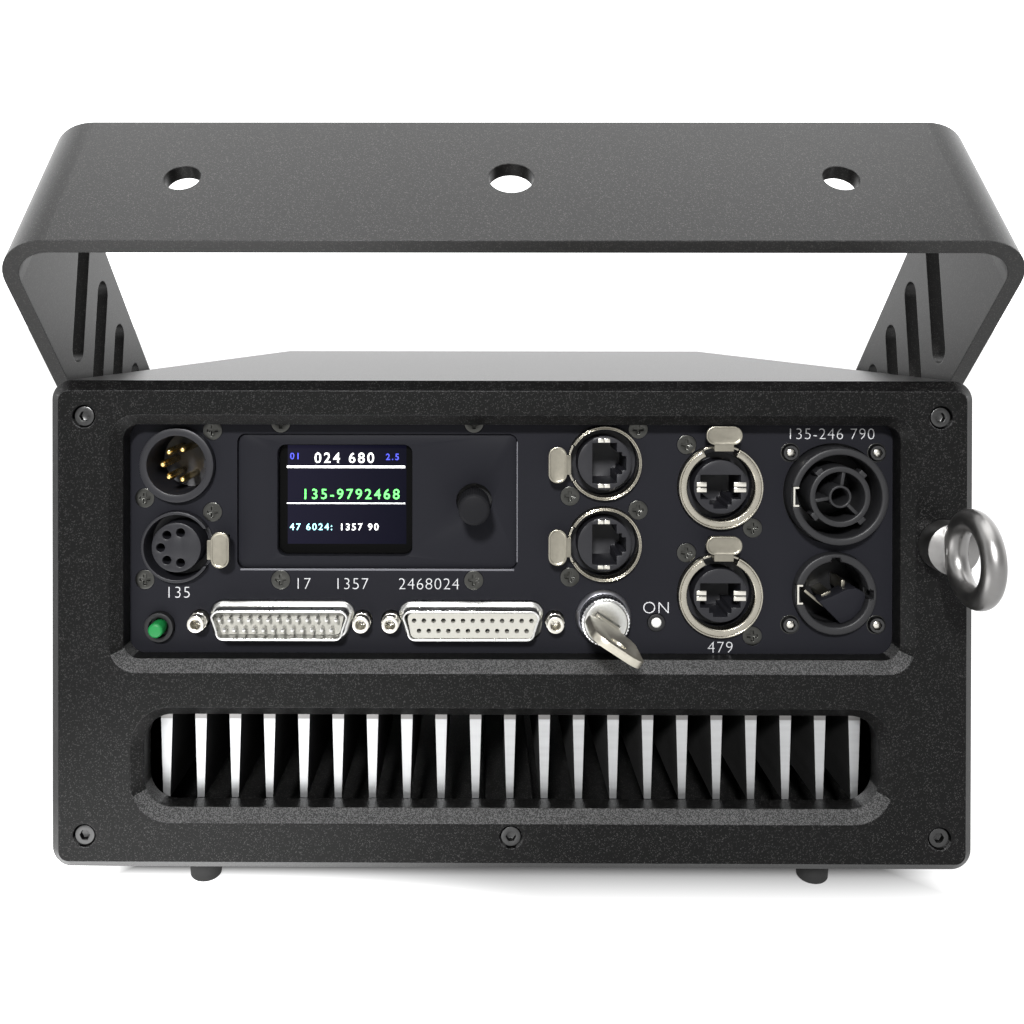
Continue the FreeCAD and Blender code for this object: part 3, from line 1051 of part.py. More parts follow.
def key_body(at):
    """A flat key: blade, wide bow with round corners and a hole for a ring."""
    half = D.key_blade_width / 2
    blade = padded("key_blade", "YZ_Plane", [(0, -half), (0, half), (-D.key_neck - D.key_bow_radius, half),
                                             (-D.key_neck - D.key_bow_radius, -half)],
                   D.key_thickness, (ZERO, ZERO, ZERO), midplane=True)
    bow = rounded("key_bow", (-D.key_thickness / 2, -D.key_neck - D.key_bow_length, -D.key_bow_width / 2),
                  (D.key_thickness, D.key_bow_length, D.key_bow_width), D.key_bow_radius, "x")
    hole_y = D.key_hole_inset - D.key_neck - D.key_bow_length
    hole = rod("key_ring_hole", (-D.key_thickness / 2, hole_y, ZERO), D.key_hole_radius, D.key_thickness, "x")
    key = cut("key_cut", fuse("key_solid", [blade, bow]), [hole])
    return place(key, at, FreeCAD.Rotation(Y_AXIS, -90 + D.key_turn.value))


def make_small_controls():
    length = D.led_bezel_stand + D.led_depth
    node(ring("led_holder", (LED_X, PANEL - D.led_bezel_stand, LED_Z), D.led_bezel_radius, D.led_radius,
              length), "led_bezel")
    tip = D.led_depth + D.led_stand
    node(turned("led_lens", [(0, 0), (D.led_radius, 0), (D.led_radius, D.led_depth), (D.led_tip_radius, tip),
                             (0, tip)], (LED_X, PANEL + D.led_depth, LED_Z), "-y"), "status_led")
    at = (BUTTON_X, PANEL - D.bezel_stand, BUTTON_Z)
    collar = rod("button_collar", at, D.bezel_radius, D.bezel_stand + D.bezel_depth)
    well = rod("button_well", at, D.bezel_well, D.bezel_well_depth)
    bore = rod("button_bore", at, D.button_radius + D.running_gap,
               D.bezel_stand + D.button_depth + D.button_travel)
    node(cut("button_bezel_cut", collar, [well, bore]), "restart_bezel")
    node(rod("button_cap", (BUTTON_X, PANEL - D.button_stand, BUTTON_Z), D.button_radius,
             D.button_stand + D.button_depth - D.moving_gap), "restart_button")


# Yoke: bent plate, modelled upright about its pivot and then leant back
def arm_slot(name, number):
    """A slanted round-ended slot through both arms."""
    span = D.yoke_width - 2 * D.arm_slot_margin
    run = span / math.cos(math.radians(D.arm_slot_slope.value)) - D.arm_slot_width
    radius = D.arm_slot_width / 2
    bar = box(f"{name}_bar", (-YOKE_HALF, -run / 2, -radius), (2 * YOKE_HALF, run, D.arm_slot_width))
    ends = [rod(f"{name}_end{s + 1}", (-YOKE_HALF, s * run / 2, ZERO), radius, 2 * YOKE_HALF, "x")
            for s in (-1, 1)]
    height = D.yoke_reach - D.arm_slot_first - number * D.arm_slot_pitch
    slope = FreeCAD.Rotation(X_AXIS, D.arm_slot_slope.value)
    return place(fuse(name, [bar] + ends), (ZERO, ZERO, height), slope)


def make_yoke():
    half, inner, tail = YOKE_HALF, YOKE_INNER, D.yoke_width / 2
    top, under = D.yoke_reach, D.yoke_reach - D.yoke_plate
    strip = padded("yoke_strip", "XZ_Plane", [
        (-half, -tail), (-half, top), (half, top), (half, -tail), (inner, -tail), (inner, under),
        (-inner, under), (-inner, -tail)], D.yoke_width, (ZERO, ZERO, ZERO), midplane=True)
    bent = soften("Fillet", "yoke_bent_outside", strip, D.yoke_bend,
                  lambda e: runs_along(e, "y") and lies_at(e, "Z", top))
    folded = soften("Fillet", "yoke_bent_inside", bent, D.yoke_bend - D.yoke_plate,
                    lambda e: runs_along(e, "y") and lies_at(e, "Z", under))
    tails = soften("Fillet", "yoke_tails", folded, tail - D.running_gap,
                   lambda e: runs_along(e, "x") and lies_at(e, "Z", -tail))
    tools = [rod("yoke_hole", (ZERO, ZERO, under), D.yoke_hole_radius, D.yoke_plate, "z"),
             rod("yoke_bores", (-half, ZERO, ZERO), D.stud_radius + D.running_gap, 2 * half, "x")]
    tools += [rod(f"yoke_side_hole{s + 1}", (s * (half - D.yoke_side_hole_inset), ZERO, under),
                  D.yoke_side_hole_radius, D.yoke_plate, "z") for s in (-1, 1)]
    tools += [arm_slot(f"arm_slot{n}", n) for n in range(ARM_SLOTS)]
    yoke = cut("yoke_cut", tails, tools)
    node(place(yoke, (ZERO, PIVOT_Y, PIVOT_Z), FreeCAD.Rotation(X_AXIS, D.yoke_lean.value)), "yoke")


def hand_knob(side, s, along):
    """A scooped grip moulded on a stud that reaches into the sleeve."""
    face = YOKE_HALF + D.moving_gap
    grip = rod(f"knob_{side}_grip", (s * face, PIVOT_Y, PIVOT_Z), D.hand_knob_radius, D.hand_knob_length,
               along)
    reach = D.hand_knob_radius + D.scoop_offset
    scoops = []
    for n in range(KNOB_LOBES):
        angle = 2 * math.pi * n / KNOB_LOBES
        at = (s * (face + D.hand_knob_collar), PIVOT_Y + reach * math.cos(angle),
              PIVOT_Z + reach * math.sin(angle))
        scoops.append(rod(f"knob_{side}_scoop{n}", at, D.scoop_radius, D.hand_knob_length, along))
    start = INNER_HALF - D.stud_inside
    stud = rod(f"knob_{side}_stud", (s * start, PIVOT_Y, PIVOT_Z), D.stud_radius, face - start, along)
    return fuse(f"knob_{side}_whole", [cut(f"knob_{side}_lobed", grip, scoops), stud])


def make_yoke_fixings():
    spacers = []
    for side, s, along in (("left", -1, "-x"), ("right", 1, "x")):
        spacers.append(ring(f"spacer_{side}", (s * BODY_HALF, PIVOT_Y, PIVOT_Z), D.spacer_radius,
                            D.stud_radius + D.running_gap, D.spacer_length - D.moving_gap, along))
        node(hand_knob(side, s, along), f"yoke_knob_{side}")
    node(group("spacer_pair", spacers), "yoke_spacers")


# Front plate: the rear frame's twin, with the beam's window and a slot where the air leaves
APERTURE_LOW = FLOOR + D.aperture_z - D.aperture_height / 2
MASK_LOW = APERTURE_LOW - D.mask_height + D.window_chamfer
MASK_SCREW_Z = MASK_LOW + D.mask_height - D.mask_screw_inset
MASK_SCREWS = [("left", D.aperture_x - D.mask_slot_x), ("right", D.aperture_x + D.mask_slot_x)]


def make_front_plate():
    blank = plate_blank("front_plate", FRONT_BACK, D.front_depth, FRONT)
    tools = bevelled_opening("beam_window", D.aperture_x, APERTURE_LOW, D.aperture_width, D.aperture_height,
                             D.window_radius, FRONT, -1)
    tools += fin_slot("air_slot", FRONT, -1)
    tools += screw_holes("front_plate", FRONT, -1)
    tools += [rod(f"mask_thread_{side}", (x, FRONT, MASK_SCREW_Z), D.mask_screw_radius + D.running_gap,
                  D.front_depth, "-y") for side, x in MASK_SCREWS]
    node(cut("front_plate_cut", blank, tools), "front_plate")
    width, height = D.aperture_width + 2 * D.glass_lap, D.aperture_height + 2 * D.glass_lap
    glass_low = (D.aperture_x - width / 2, FRONT_BACK - D.glass_thickness, APERTURE_LOW - D.glass_lap)
    node(box("glass_pane", glass_low, (width, D.glass_thickness, height)), "exit_window")


# Aperture mask: a plate on two slots that slides up in front of the beam's window
def make_mask():
    y = FRONT + D.moving_gap
    plate = rounded("mask_plate", (D.aperture_x - D.mask_width / 2, y, MASK_LOW),
                    (D.mask_width, D.mask_thickness, D.mask_height), D.window_radius)
    radius = D.mask_screw_radius + D.moving_gap
    slots = [box(f"mask_slot_{side}", (x - radius, y, MASK_SCREW_Z - D.mask_travel - radius),
                 (2 * radius, D.mask_thickness, D.mask_travel + 2 * radius)) for side, x in MASK_SCREWS]
    node(cut("mask_cut", plate, slots), "aperture_mask")
    head_y = y + D.mask_thickness + D.moving_gap
    for side, x in MASK_SCREWS:
        head = rod(f"mask_head_{side}", (x, head_y, MASK_SCREW_Z), D.mask_head_radius, D.mask_head_height)
        stem = rod(f"mask_stem_{side}", (x, FRONT_BACK, MASK_SCREW_Z), D.mask_screw_radius,
                   head_y - FRONT_BACK)
        node(fuse(f"mask_screw_{side}_whole", [head, stem]), f"mask_screw_{side}")


# Optics: laser modules and combining mirrors on a bench, then two scanner motors in a block
BENCH_LEFT = D.aperture_x - D.bench_width / 2
BENCH_REAR = PANEL + D.bench_setback
BENCH_TOP = SINK_TOP + D.bench_thickness


def make_optics():
    node(box("bench_plate", (BENCH_LEFT, BENCH_REAR, SINK_TOP),
             (D.bench_width, BENCH_LENGTH, D.bench_thickness)), "laser_bench")
    lasers, mirrors = [], []
    for n in range(LASERS):
        x = BENCH_LEFT + D.bench_edge + n * D.laser_pitch
        y = BENCH_REAR + D.laser_end
        lasers.append(box(f"laser{n}", (x, y, BENCH_TOP), (D.laser_width, D.laser_length, D.laser_height)))
        mid = x + D.laser_width / 2
        y = y + D.laser_length + D.mirror_first + n * D.mirror_pitch
        post = box(f"mirror_post{n}", (mid - D.mirror_post / 2, y, BENCH_TOP),
                   (D.mirror_post, D.mirror_post, D.beam_height))
        plate = box(f"mirror_plate{n}", (mid - D.mirror_side / 2, y - D.mirror_thickness,
                                         BENCH_TOP + D.beam_height - D.mirror_side),
                    (D.mirror_side, D.mirror_thickness, D.mirror_side))
        mirrors.append(fuse(f"mirror_whole{n}", [post, plate]))
    node(group("lasers", lasers), "laser_modules")
    node(group("mirrors", mirrors), "combining_mirrors")


def make_galvos():
    side, height = D.galvo_block_side, D.galvo_block_height
    left, rear = D.aperture_x - side / 2, BENCH_REAR + BENCH_LENGTH - side
    block = box("galvo_body", (left, rear, BENCH_TOP), (side, side, height))
    x_at = (left, rear + side - D.galvo_x_inset, BENCH_TOP + D.beam_height)
    y_at = (D.aperture_x, rear + D.galvo_y_inset, BENCH_TOP + height - D.galvo_y_sink)
    room = D.galvo_motor_radius + D.fit_gap
    bores = [rod("galvo_bore_x", x_at, room, side, "x"),
             rod("galvo_bore_y", y_at, room, D.galvo_motor_length, "z")]
    node(cut("galvo_cut", block, bores), "galvo_block")
    motors = []
    for name, at, along in (("x", x_at, "x"), ("y", y_at, "z")):
        can = rod(f"galvo_can_{name}", at, D.galvo_motor_radius, D.galvo_motor_length, along)
        spot = "xyz".index(along)
        start = list(at)
        start[spot] = at[spot] + D.galvo_motor_length - D.galvo_shaft_length
        hole = rod(f"galvo_hole_{name}", start, D.galvo_shaft_radius + D.running_gap, D.galvo_shaft_length,
                   along)
        motors.append(cut(f"galvo_motor_{name}", can, [hole]))
        galvo_mirror(name, start, spot, along)
    node(group("galvo_motor_pair", motors), "galvo_motors")


def galvo_mirror(name, start, spot, along):
    """A mirror blade on its shaft, which turns in the motor."""
    shaft = rod(f"galvo_shaft_{name}", start, D.galvo_shaft_radius, 2 * D.galvo_shaft_length, along)
    span = [D.galvo_blade_width, D.galvo_blade_thickness, D.galvo_blade_width]
    low = [middle - size / 2 for middle, size in zip(start, span)]
    low[spot] = start[spot] + 2 * D.galvo_shaft_length - D.galvo_blade_lap
    span[spot] = D.galvo_blade_length
    blade = box(f"galvo_blade_{name}", low, span)
    node(fuse(f"galvo_mirror_{name}_whole", [shaft, blade]), f"galvo_mirror_{name}")


# Electronics: the supply fills the room beside the bench, up to the yoke's stud and the drivers
def make_electronics():
    node(box("control_pcb", (-D.control_width / 2, PANEL + D.control_setback, SINK_TOP),
             (D.control_width, D.board_thickness, D.control_height)), "control_board")
    left = BENCH_LEFT + D.bench_width + D.supply_gap
    right = INNER_HALF - D.stud_inside - D.supply_clear
    rear = PANEL + D.supply_setback
    driver_rear = FRONT_BACK - D.driver_front_gap - D.driver_length
    front = driver_rear - D.driver_gap
    node(rounded("supply_case", (left, rear, SINK_TOP), (right - left, front - rear, D.supply_height),
                 D.corner_radius, "z"), "power_supply")
    boards = [box(f"driver{n}", (left + D.driver_inset + n * D.driver_spacing, driver_rear, SINK_TOP),
                  (D.board_thickness, D.driver_length, D.driver_height)) for n in range(DRIVERS)]
    node(group("driver_pair", boards), "driver_boards")


# Fans behind the front plate's slot: a square frame with a strut that carries the rotor's pin
def fan_frame(side, x, y, z):
    case = box(f"fan_case_{side}", (x - D.fan_side / 2, y, INNER_FLOOR),
               (D.fan_side, D.fan_depth, D.fan_side))
    duct = rod(f"fan_duct_{side}", (x, y, z), D.fan_side / 2 - D.fan_wall, D.fan_depth)
    half = D.fan_side / 2 - D.fan_strut_inset
    strut = box(f"fan_strut_{side}", (x - half, y, z - D.fan_strut), (2 * half, D.fan_strut, 2 * D.fan_strut))
    seat = rod(f"fan_seat_{side}", (x, y, z), D.fan_hub_radius, D.fan_strut)
    solid = fuse(f"fan_spider_{side}", [cut(f"fan_open_{side}", case, [duct]), strut, seat])
    bore = rod(f"fan_bore_{side}", (x, y, z), D.fan_pin_radius + D.running_gap, D.fan_strut)
    return cut(f"fan_frame_{side}", solid, [bore])


def fan_rotor(side, x, y, z):
    depth = D.fan_depth - D.fan_strut - 2 * D.moving_gap
    start = y + D.fan_strut + D.moving_gap
    hub = rod(f"rotor_hub_{side}", (x, start, z), D.fan_hub_radius, depth)
    pin = rod(f"rotor_pin_{side}", (x, y, z), D.fan_pin_radius, D.fan_pin_length)
    half, thin = D.fan_blade_chord / 2, D.fan_blade_thickness / 2
    section = [(-half, -thin), (half, -thin), (half, thin), (-half, thin)]
    reach = D.fan_side / 2 - D.fan_wall - D.fan_tip_gap
    pitch = FreeCAD.Rotation(X_AXIS, D.fan_blade_pitch.value)
    turns = [FreeCAD.Rotation(Y_AXIS, 360 * n / FAN_BLADES).multiply(pitch) for n in range(FAN_BLADES)]
    blades = [padded(f"blade_{side}{n}", "YZ_Plane", section, reach, (x, start + depth / 2, z), turn)
              for n, turn in enumerate(turns)]
    return fuse(f"rotor_{side}", [hub, pin] + blades)


def make_fans():
    y, z = FRONT_BACK - D.fan_depth, INNER_FLOOR + D.fan_side / 2
    frames = []
    for side, s in (("left", -1), ("right", 1)):
        frames.append(fan_frame(side, s * D.fan_x, y, z))
        node(fan_rotor(side, s * D.fan_x, y, z), f"fan_rotor_{side}")
    node(group("fan_frame_pair", frames), "fan_frames")


MAKERS = (make_rear_frame, make_cap_screws, make_eye_bolt, make_housing_shell, make_feet, make_heat_sink,
          make_panel, make_panel_screws, make_display, make_encoder, make_xlr_male, make_xlr_female,
          make_tabs, make_network, make_power, make_dsubs, make_key_switch, make_small_controls,
          make_yoke, make_yoke_fixings, make_front_plate, make_mask, make_optics, make_galvos,
          make_electronics, make_fans)
for make in MAKERS:
    make()
doc.recompute()

for item in doc.Objects:
    if "Invalid" in item.State or "Error" in item.State:
        raise RuntimeError(f"{item.Label} did not recompute: {item.State}")
for item in NODES:
    if item.Shape.isNull() or not item.Shape.isValid():
        raise RuntimeError(f"{item.Label} has no valid shape")

os.makedirs("parts", exist_ok=True)
for item in NODES:
    item.Shape.exportStep(f"parts/{item.Label}.step")
    span = item.Shape.BoundBox
    print(f"{item.Label}: {len(item.Shape.Solids)} solids, {item.Shape.Volume:.0f} mm3, "
          f"x {span.XMin:.2f} {span.XMax:.2f} y {span.YMin:.2f} {span.YMax:.2f} "
          f"z {span.ZMin:.2f} {span.ZMax:.2f}")
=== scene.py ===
import json
import math
import bpy
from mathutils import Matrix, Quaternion, Vector

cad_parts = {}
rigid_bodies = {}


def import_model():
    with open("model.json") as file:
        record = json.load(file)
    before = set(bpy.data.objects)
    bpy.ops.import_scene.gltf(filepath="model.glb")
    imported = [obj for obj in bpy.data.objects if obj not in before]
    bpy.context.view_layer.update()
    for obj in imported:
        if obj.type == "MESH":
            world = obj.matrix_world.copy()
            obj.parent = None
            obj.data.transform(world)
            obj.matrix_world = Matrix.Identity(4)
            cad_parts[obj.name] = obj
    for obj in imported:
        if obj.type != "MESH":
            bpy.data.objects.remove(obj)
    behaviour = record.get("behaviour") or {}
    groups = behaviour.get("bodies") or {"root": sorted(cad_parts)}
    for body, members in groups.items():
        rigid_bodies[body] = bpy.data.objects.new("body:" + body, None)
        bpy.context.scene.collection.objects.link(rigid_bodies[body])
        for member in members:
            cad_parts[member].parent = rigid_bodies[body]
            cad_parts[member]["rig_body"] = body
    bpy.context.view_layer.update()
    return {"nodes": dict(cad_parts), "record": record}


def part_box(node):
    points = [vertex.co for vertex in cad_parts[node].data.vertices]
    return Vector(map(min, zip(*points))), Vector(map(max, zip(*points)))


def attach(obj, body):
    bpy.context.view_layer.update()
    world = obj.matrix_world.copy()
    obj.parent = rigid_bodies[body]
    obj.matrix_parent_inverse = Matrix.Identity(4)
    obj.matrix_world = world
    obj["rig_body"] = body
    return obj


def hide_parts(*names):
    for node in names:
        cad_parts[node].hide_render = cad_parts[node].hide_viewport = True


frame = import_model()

MM = 0.001


# Finned base: an aluminium extrusion, sawn to length and left bare. Its plate carries the optics,
# and its tapered fins hang in the air stream, so that their sawn ends show in the rear slot.
class Socket:
    """One output of a material's nodes. Operators add Math nodes, and node() adds any other node."""

    def __init__(self, tree, output):
        self.tree = tree
        self.output = output

    def node(self, kind, settings, inputs, give=0):
        made = self.tree.nodes.new(f"ShaderNode{kind}")
        for name, value in settings.items():
            setattr(made, name, value)
        for name, value in inputs.items():
            if isinstance(value, Socket):
                self.tree.links.new(value.output, made.inputs[name])
            else:
                made.inputs[name].default_value = value
        return Socket(self.tree, made.outputs[give])

    def maths(self, operation, *values):
        return self.node("Math", {"operation": operation}, dict(enumerate(values)))

    def __add__(self, other):
        return self.maths("ADD", self, other)

    def __radd__(self, other):
        return self.maths("ADD", other, self)

    def __sub__(self, other):
        return self.maths("SUBTRACT", self, other)

    def __rsub__(self, other):
        return self.maths("SUBTRACT", other, self)

    def __mul__(self, other):
        return self.maths("MULTIPLY", self, other)

    def __rmul__(self, other):
        return self.maths("MULTIPLY", other, self)

    def __gt__(self, other):
        return self.maths("GREATER_THAN", self, other)

    def __lt__(self, other):
        return self.maths("LESS_THAN", self, other)

    def part(self, axis):
        """One part of a vector: X, Y or Z."""
        return self.node("SeparateXYZ", {}, {"Vector": self}, axis)

    def facing(self, axis):
        """How far the surface here faces along an axis of its piece."""
        return self.node("TexCoord", {}, {}, "Normal").part(axis)

    def blend(self, first, second):
        """A colour between two, by this value."""
        return self.node("Mix", {"data_type": "RGBA"}, {0: self, 6: first, 7: second}, 2)

    def noise(self, scale, detail=2.0, stretch=(1, 1, 1)):
        """Noise at this place, in waves per metre, stretched along the axes."""
        moved = self.node("Mapping", {}, {"Vector": self, "Scale": stretch})
        return moved.node("TexNoise", {}, {"Vector": moved, "Scale": scale, "Detail": detail}, "Fac")

    def bump(self, strength, distance):
        return self.node("Bump", {}, {"Height": self, "Strength": strength, "Distance": distance}, "Normal")


def new_finish(name, **constants):
    """A material whose constants are set on the shader, and the place on the piece to paint by."""
    material = bpy.data.materials.new(name)
    material.use_nodes = True
    shader = material.node_tree.nodes["Principled BSDF"]
    for key, value in constants.items():
        shader.inputs[key.replace("_", " ").title().replace("Ior", "IOR")].default_value = value
    coords = material.node_tree.nodes.new("ShaderNodeTexCoord")
    return material, Socket(material.node_tree, coords.outputs["Object"])


def feed(material, **sockets):
    """Links what changes over the surface to the shader."""
    shader = material.node_tree.nodes["Principled BSDF"]
    for key, value in sockets.items():
        material.node_tree.links.new(value.output, shader.inputs[key.replace("_", " ").title()])
    return material


def dress(material, *nodes):
    """Gives solids of the frame their finish."""
    for node in nodes:
        slots = frame["nodes"][node].data.materials
        slots.clear()
        slots.append(material)


def grey(level, warm=0.0):
    return (level * (1 + warm), level, level * (1 - warm), 1)


def bare_aluminium(name, flank, root):
    """Sawn ends are bright; flanks take the flank colour, a painted shade on the fins, and ends above the
    root's height take a painted shade band.
    """
    material, place = new_finish(name, metallic=1.0)
    sawn = place.noise(900, 3, (0.03, 0.006, 1))
    cloudy = place.noise(60)
    # Painted shade on the fins: dark flanks, and a darker band on the ends above the root's height.
    end = place.facing("Y").maths("ABSOLUTE", place.facing("Y")) > 0.5
    shaded_band = place.part("Z") > root * MM
    ends = shaded_band.blend(sawn.blend(grey(0.34, -0.01), grey(0.42, -0.01)), grey(0.19, 0.02))
    return feed(material, base_color=end.blend(grey(flank), ends), normal=sawn.bump(0.12, 0.05 * MM),
                roughness=0.34 + 0.14 * sawn + 0.1 * cloudy)


FIN_ROOT = 51.0
dress(bare_aluminium("bare_extrusion", 0.1, FIN_ROOT), "base_heat_sink")


# Sleeve, rear frame and front plate: aluminium under a black powder coat with fine metal flakes.
# The plates are milled, with a bevel round every opening and broken edges, before they are coated.
EDGE, TOP_CHAMFER = 0.4, 4


def sparkle_coat(name, dark, flake, share, rough, level, bevel_top=0.0):
    """Flakes in a dark coat. Upward bevels below a height and sharp edges get painted highlights; raked faces
    above it get painted shade.
    """
    material, place = new_finish(name, specular_ior_level=level)
    cell = place.node("TexVoronoi", {}, {"Vector": place, "Scale": 5200.0}, "Color")
    chance = cell.node("SeparateColor", {}, {"Color": cell}, "Red")
    rounded = place.node("Bevel", {"samples": 4}, {"Radius": EDGE * MM})
    # Painted light: upward bevels below bevel_top get a lighter base and more, brighter flakes; raked faces
    # above it are painted darker as shade.
    raked = (place.facing("Z") > 0.25) * (place.facing("Z") < 0.9)
    lit_slope = raked * (place.part("Z") < bevel_top)
    shaded_crown = raked * (place.part("Z") > bevel_top)
    # Painted highlight along rear-facing edges, where the rounded normal leans upward: more and brighter
    # flakes.
    corner = rounded.part("Z") - place.facing("Z") > 0.1
    sharp = corner * (place.facing("Z") < 0.25) * (place.facing("Y") < -0.5)
    spark = chance > 1 - share - 0.3 * lit_slope - 0.45 * sharp
    lit = lit_slope.maths("MAXIMUM", lit_slope, sharp)
    grain = place.noise(2600, 2)
    relief = grain.node("Bump", {}, {"Height": grain, "Normal": rounded, "Strength": 0.45,
                                     "Distance": 0.05 * MM}, "Normal")
    shade = shaded_crown.blend(lit_slope.blend(dark, grey(0.018)), grey(0.001))
    return feed(material, base_color=spark.blend(shade, lit.blend(flake, grey(0.058))),
                normal=relief, roughness=rough + 0.1 * grain)


COAT = sparkle_coat("black_sparkle_coat", grey(0.0025), grey(0.026, 0.02), 0.08, 0.3, 0.095,
                    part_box("rear_frame")[1].z - TOP_CHAMFER * MM)
SLEEVE_COAT = sparkle_coat("black_sleeve_coat", grey(0.005), grey(0.05, 0.02), 0.08, 0.32, 0.08)
dress(COAT, "rear_frame", "front_plate")
dress(SLEEVE_COAT, "housing_shell")


# Cap screws: black-oxide steel, five in each plate, with a hexagon socket in the head.
# They hold the two plates on the sleeve's corner posts.
def smooth_metal(name, colour, rough, spread=0.08, scale=300):
    material, place = new_finish(name, metallic=1.0)
    cloud = place.noise(scale, 3)
    return feed(material, base_color=cloud.blend([0.8 * c for c in colour] + [1], [*colour, 1]),
                roughness=rough + spread * cloud)


def alone(piece):
    """Leaves one piece selected and active."""
    bpy.ops.object.select_all(action="DESELECT")
    piece.select_set(True)
    bpy.context.view_layer.objects.active = piece


def broken_edges(piece, width, segments=2, angle=30):
    """Bevels the sharp edges by a width in millimetres and shades the rest smooth."""
    alone(piece)
    edge = piece.modifiers.new("broken_edges", "BEVEL")
    edge.width = width * MM
    edge.segments = segments
    edge.limit_method = "ANGLE"
    edge.angle_limit = math.radians(angle)
    edge.use_clamp_overlap = False
    bpy.ops.object.modifier_apply(modifier=edge.name)
    bpy.ops.object.shade_smooth_by_angle(angle=math.radians(angle))
    return piece


def fitted(piece, material, body, slot, *nodes):
    """Gives a piece its finish, the body it moves with and the solids it stands for."""
    piece.data.materials.clear()
    piece.data.materials.append(material)
    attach(piece, body)
    if nodes:
        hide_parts(*nodes)
    return piece


SLOTS = {part["node"]: part["material_slot"] for part in frame["record"]["subparts"]}
MERGE = 0.02 * MM


def eased(node, width, material, segments=2):
    """A copy of a solid with its sharp edges broken, which stands for it."""
    source = frame["nodes"][node]
    piece = bpy.data.objects.new(f"{node}_eased", source.data.copy())
    bpy.context.scene.collection.objects.link(piece)
    alone(piece)
    bpy.ops.mesh.customdata_custom_splitnormals_clear()
    bpy.ops.object.mode_set(mode="EDIT")
    bpy.ops.mesh.select_all(action="SELECT")
    bpy.ops.mesh.remove_doubles(threshold=MERGE)
    bpy.ops.object.mode_set(mode="OBJECT")
    broken_edges(piece, width, segments)
    return fitted(piece, material, source["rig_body"], SLOTS[node], node)


OXIDE = smooth_metal("black_oxide", (0.06, 0.06, 0.06), 0.3)
eased("cap_screws", 0.2, OXIDE)


# Eye bolt: polished stainless steel, with a turned collar and a forged ring.
# Its shank goes through the rear frame into the sleeve's boss.
def outlined(name, corners, fill):
    """Starts a piece from a ring of corners, and leaves it selected in edit mode."""
    bpy.ops.object.select_all(action="DESELECT")
    bpy.ops.mesh.primitive_circle_add(vertices=len(corners), fill_type=fill)
    piece = bpy.context.active_object
    piece.name = piece.data.name = name
    for vertex, corner in zip(piece.data.vertices, corners):
        vertex.co = corner
    bpy.ops.object.mode_set(mode="EDIT")
    bpy.ops.mesh.select_all(action="SELECT")
    return piece


def closed():
    """Merges doubles, fills open ends and turns the faces outwards, then leaves edit mode."""
    bpy.ops.mesh.select_all(action="SELECT")
    bpy.ops.mesh.remove_doubles(threshold=0.001 * MM)
    bpy.ops.mesh.fill_holes(sides=0)
    bpy.ops.mesh.normals_make_consistent(inside=False)
    bpy.ops.object.mode_set(mode="OBJECT")


def turned(name, profile, centre, axis=(0, -1, 0), steps=64, sweep=360, start=0):
    """Spins (radius, height) corners, in millimetres, about an axis through centre."""
    axis = Vector(axis)
    across = Vector((0, 0, 1)) if abs(axis.x) > 0.5 else Vector((1, 0, 0))
    across = Quaternion(axis, math.radians(start)) @ (across - across.project(axis)).normalized()
    corners = [centre + (across * radius + axis * height) * MM for radius, height in profile]
    piece = outlined(name, corners, "NOTHING")
    bpy.ops.mesh.spin(steps=steps, angle=math.radians(sweep), center=centre, axis=axis)
    closed()
    return piece


def joined(name, pieces):
    """Fuses pieces into one closed mesh."""
    whole = pieces[0]
    for other in pieces[1:]:
        alone(whole)
        fusion = whole.modifiers.new("fusion", "BOOLEAN")
        fusion.operation = "UNION"
        fusion.solver = "EXACT"
        fusion.object = other
        bpy.ops.object.modifier_apply(modifier=fusion.name)
        bpy.data.objects.remove(other)
    whole.name = whole.data.name = name
    return whole


def polished_steel(centre):
    """Polished steel with the fine circles that a lathe leaves round the bolt's axis."""
    material, place = new_finish("polished_steel", metallic=1.0)
    flat = place.node("VectorMath", {"operation": "MULTIPLY"}, {0: place, 1: (1, 0, 1)})
    radius = flat.node("VectorMath", {"operation": "DISTANCE"}, {0: flat, 1: (centre.x, 0, centre.z)}, "Value")
    circles = radius.node("TexNoise", {"noise_dimensions": "1D"},
                          {"W": radius, "Scale": 5000.0, "Detail": 2.0}, "Fac")
    cloud = place.noise(150)
    return feed(material, base_color=cloud.blend(grey(0.15, 0.02), grey(0.27, 0.02)),
                roughness=0.28 + 0.12 * cloud, normal=circles.bump(0.35, 0.04 * MM))


EYE_COLLAR, EYE_STRAIGHT, EYE_COLLAR_LENGTH, EYE_NECK, EYE_NECK_END = 7.1, 6.4, 7.25, 3.0, 8.25
EYE_RING, EYE_WIRE, WIRE_SIDES = 10.1, 3.05, 28
rear_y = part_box("rear_frame")[0].y
eye_low, eye_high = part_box("eye_bolt")
eye_seat = Vector(((eye_low.x + eye_high.x) / 2, rear_y, (eye_low.z + eye_high.z) / 2))
collar_profile = [(0, 0), (EYE_COLLAR, 0), (EYE_COLLAR, EYE_STRAIGHT), (EYE_NECK, EYE_COLLAR_LENGTH),
                  (EYE_NECK, EYE_NECK_END), (0, EYE_NECK_END)]
collar = turned("eye_collar", collar_profile, eye_seat)
ring_section = [(EYE_RING + EYE_WIRE * math.cos(t), EYE_WIRE * math.sin(t))
                for t in (2 * math.pi * n / WIRE_SIDES for n in range(WIRE_SIDES))]
ring_centre = eye_seat - Vector((0, (EYE_COLLAR_LENGTH + EYE_RING) * MM, 0))
loop = turned("eye_loop", ring_section, ring_centre, (1, 0, 0), 72)
eye = broken_edges(joined("eye_bolt_polished", [collar, loop]), 0.25, 3)
fitted(eye, polished_steel(eye_seat), "housing", "stainless", "eye_bolt")


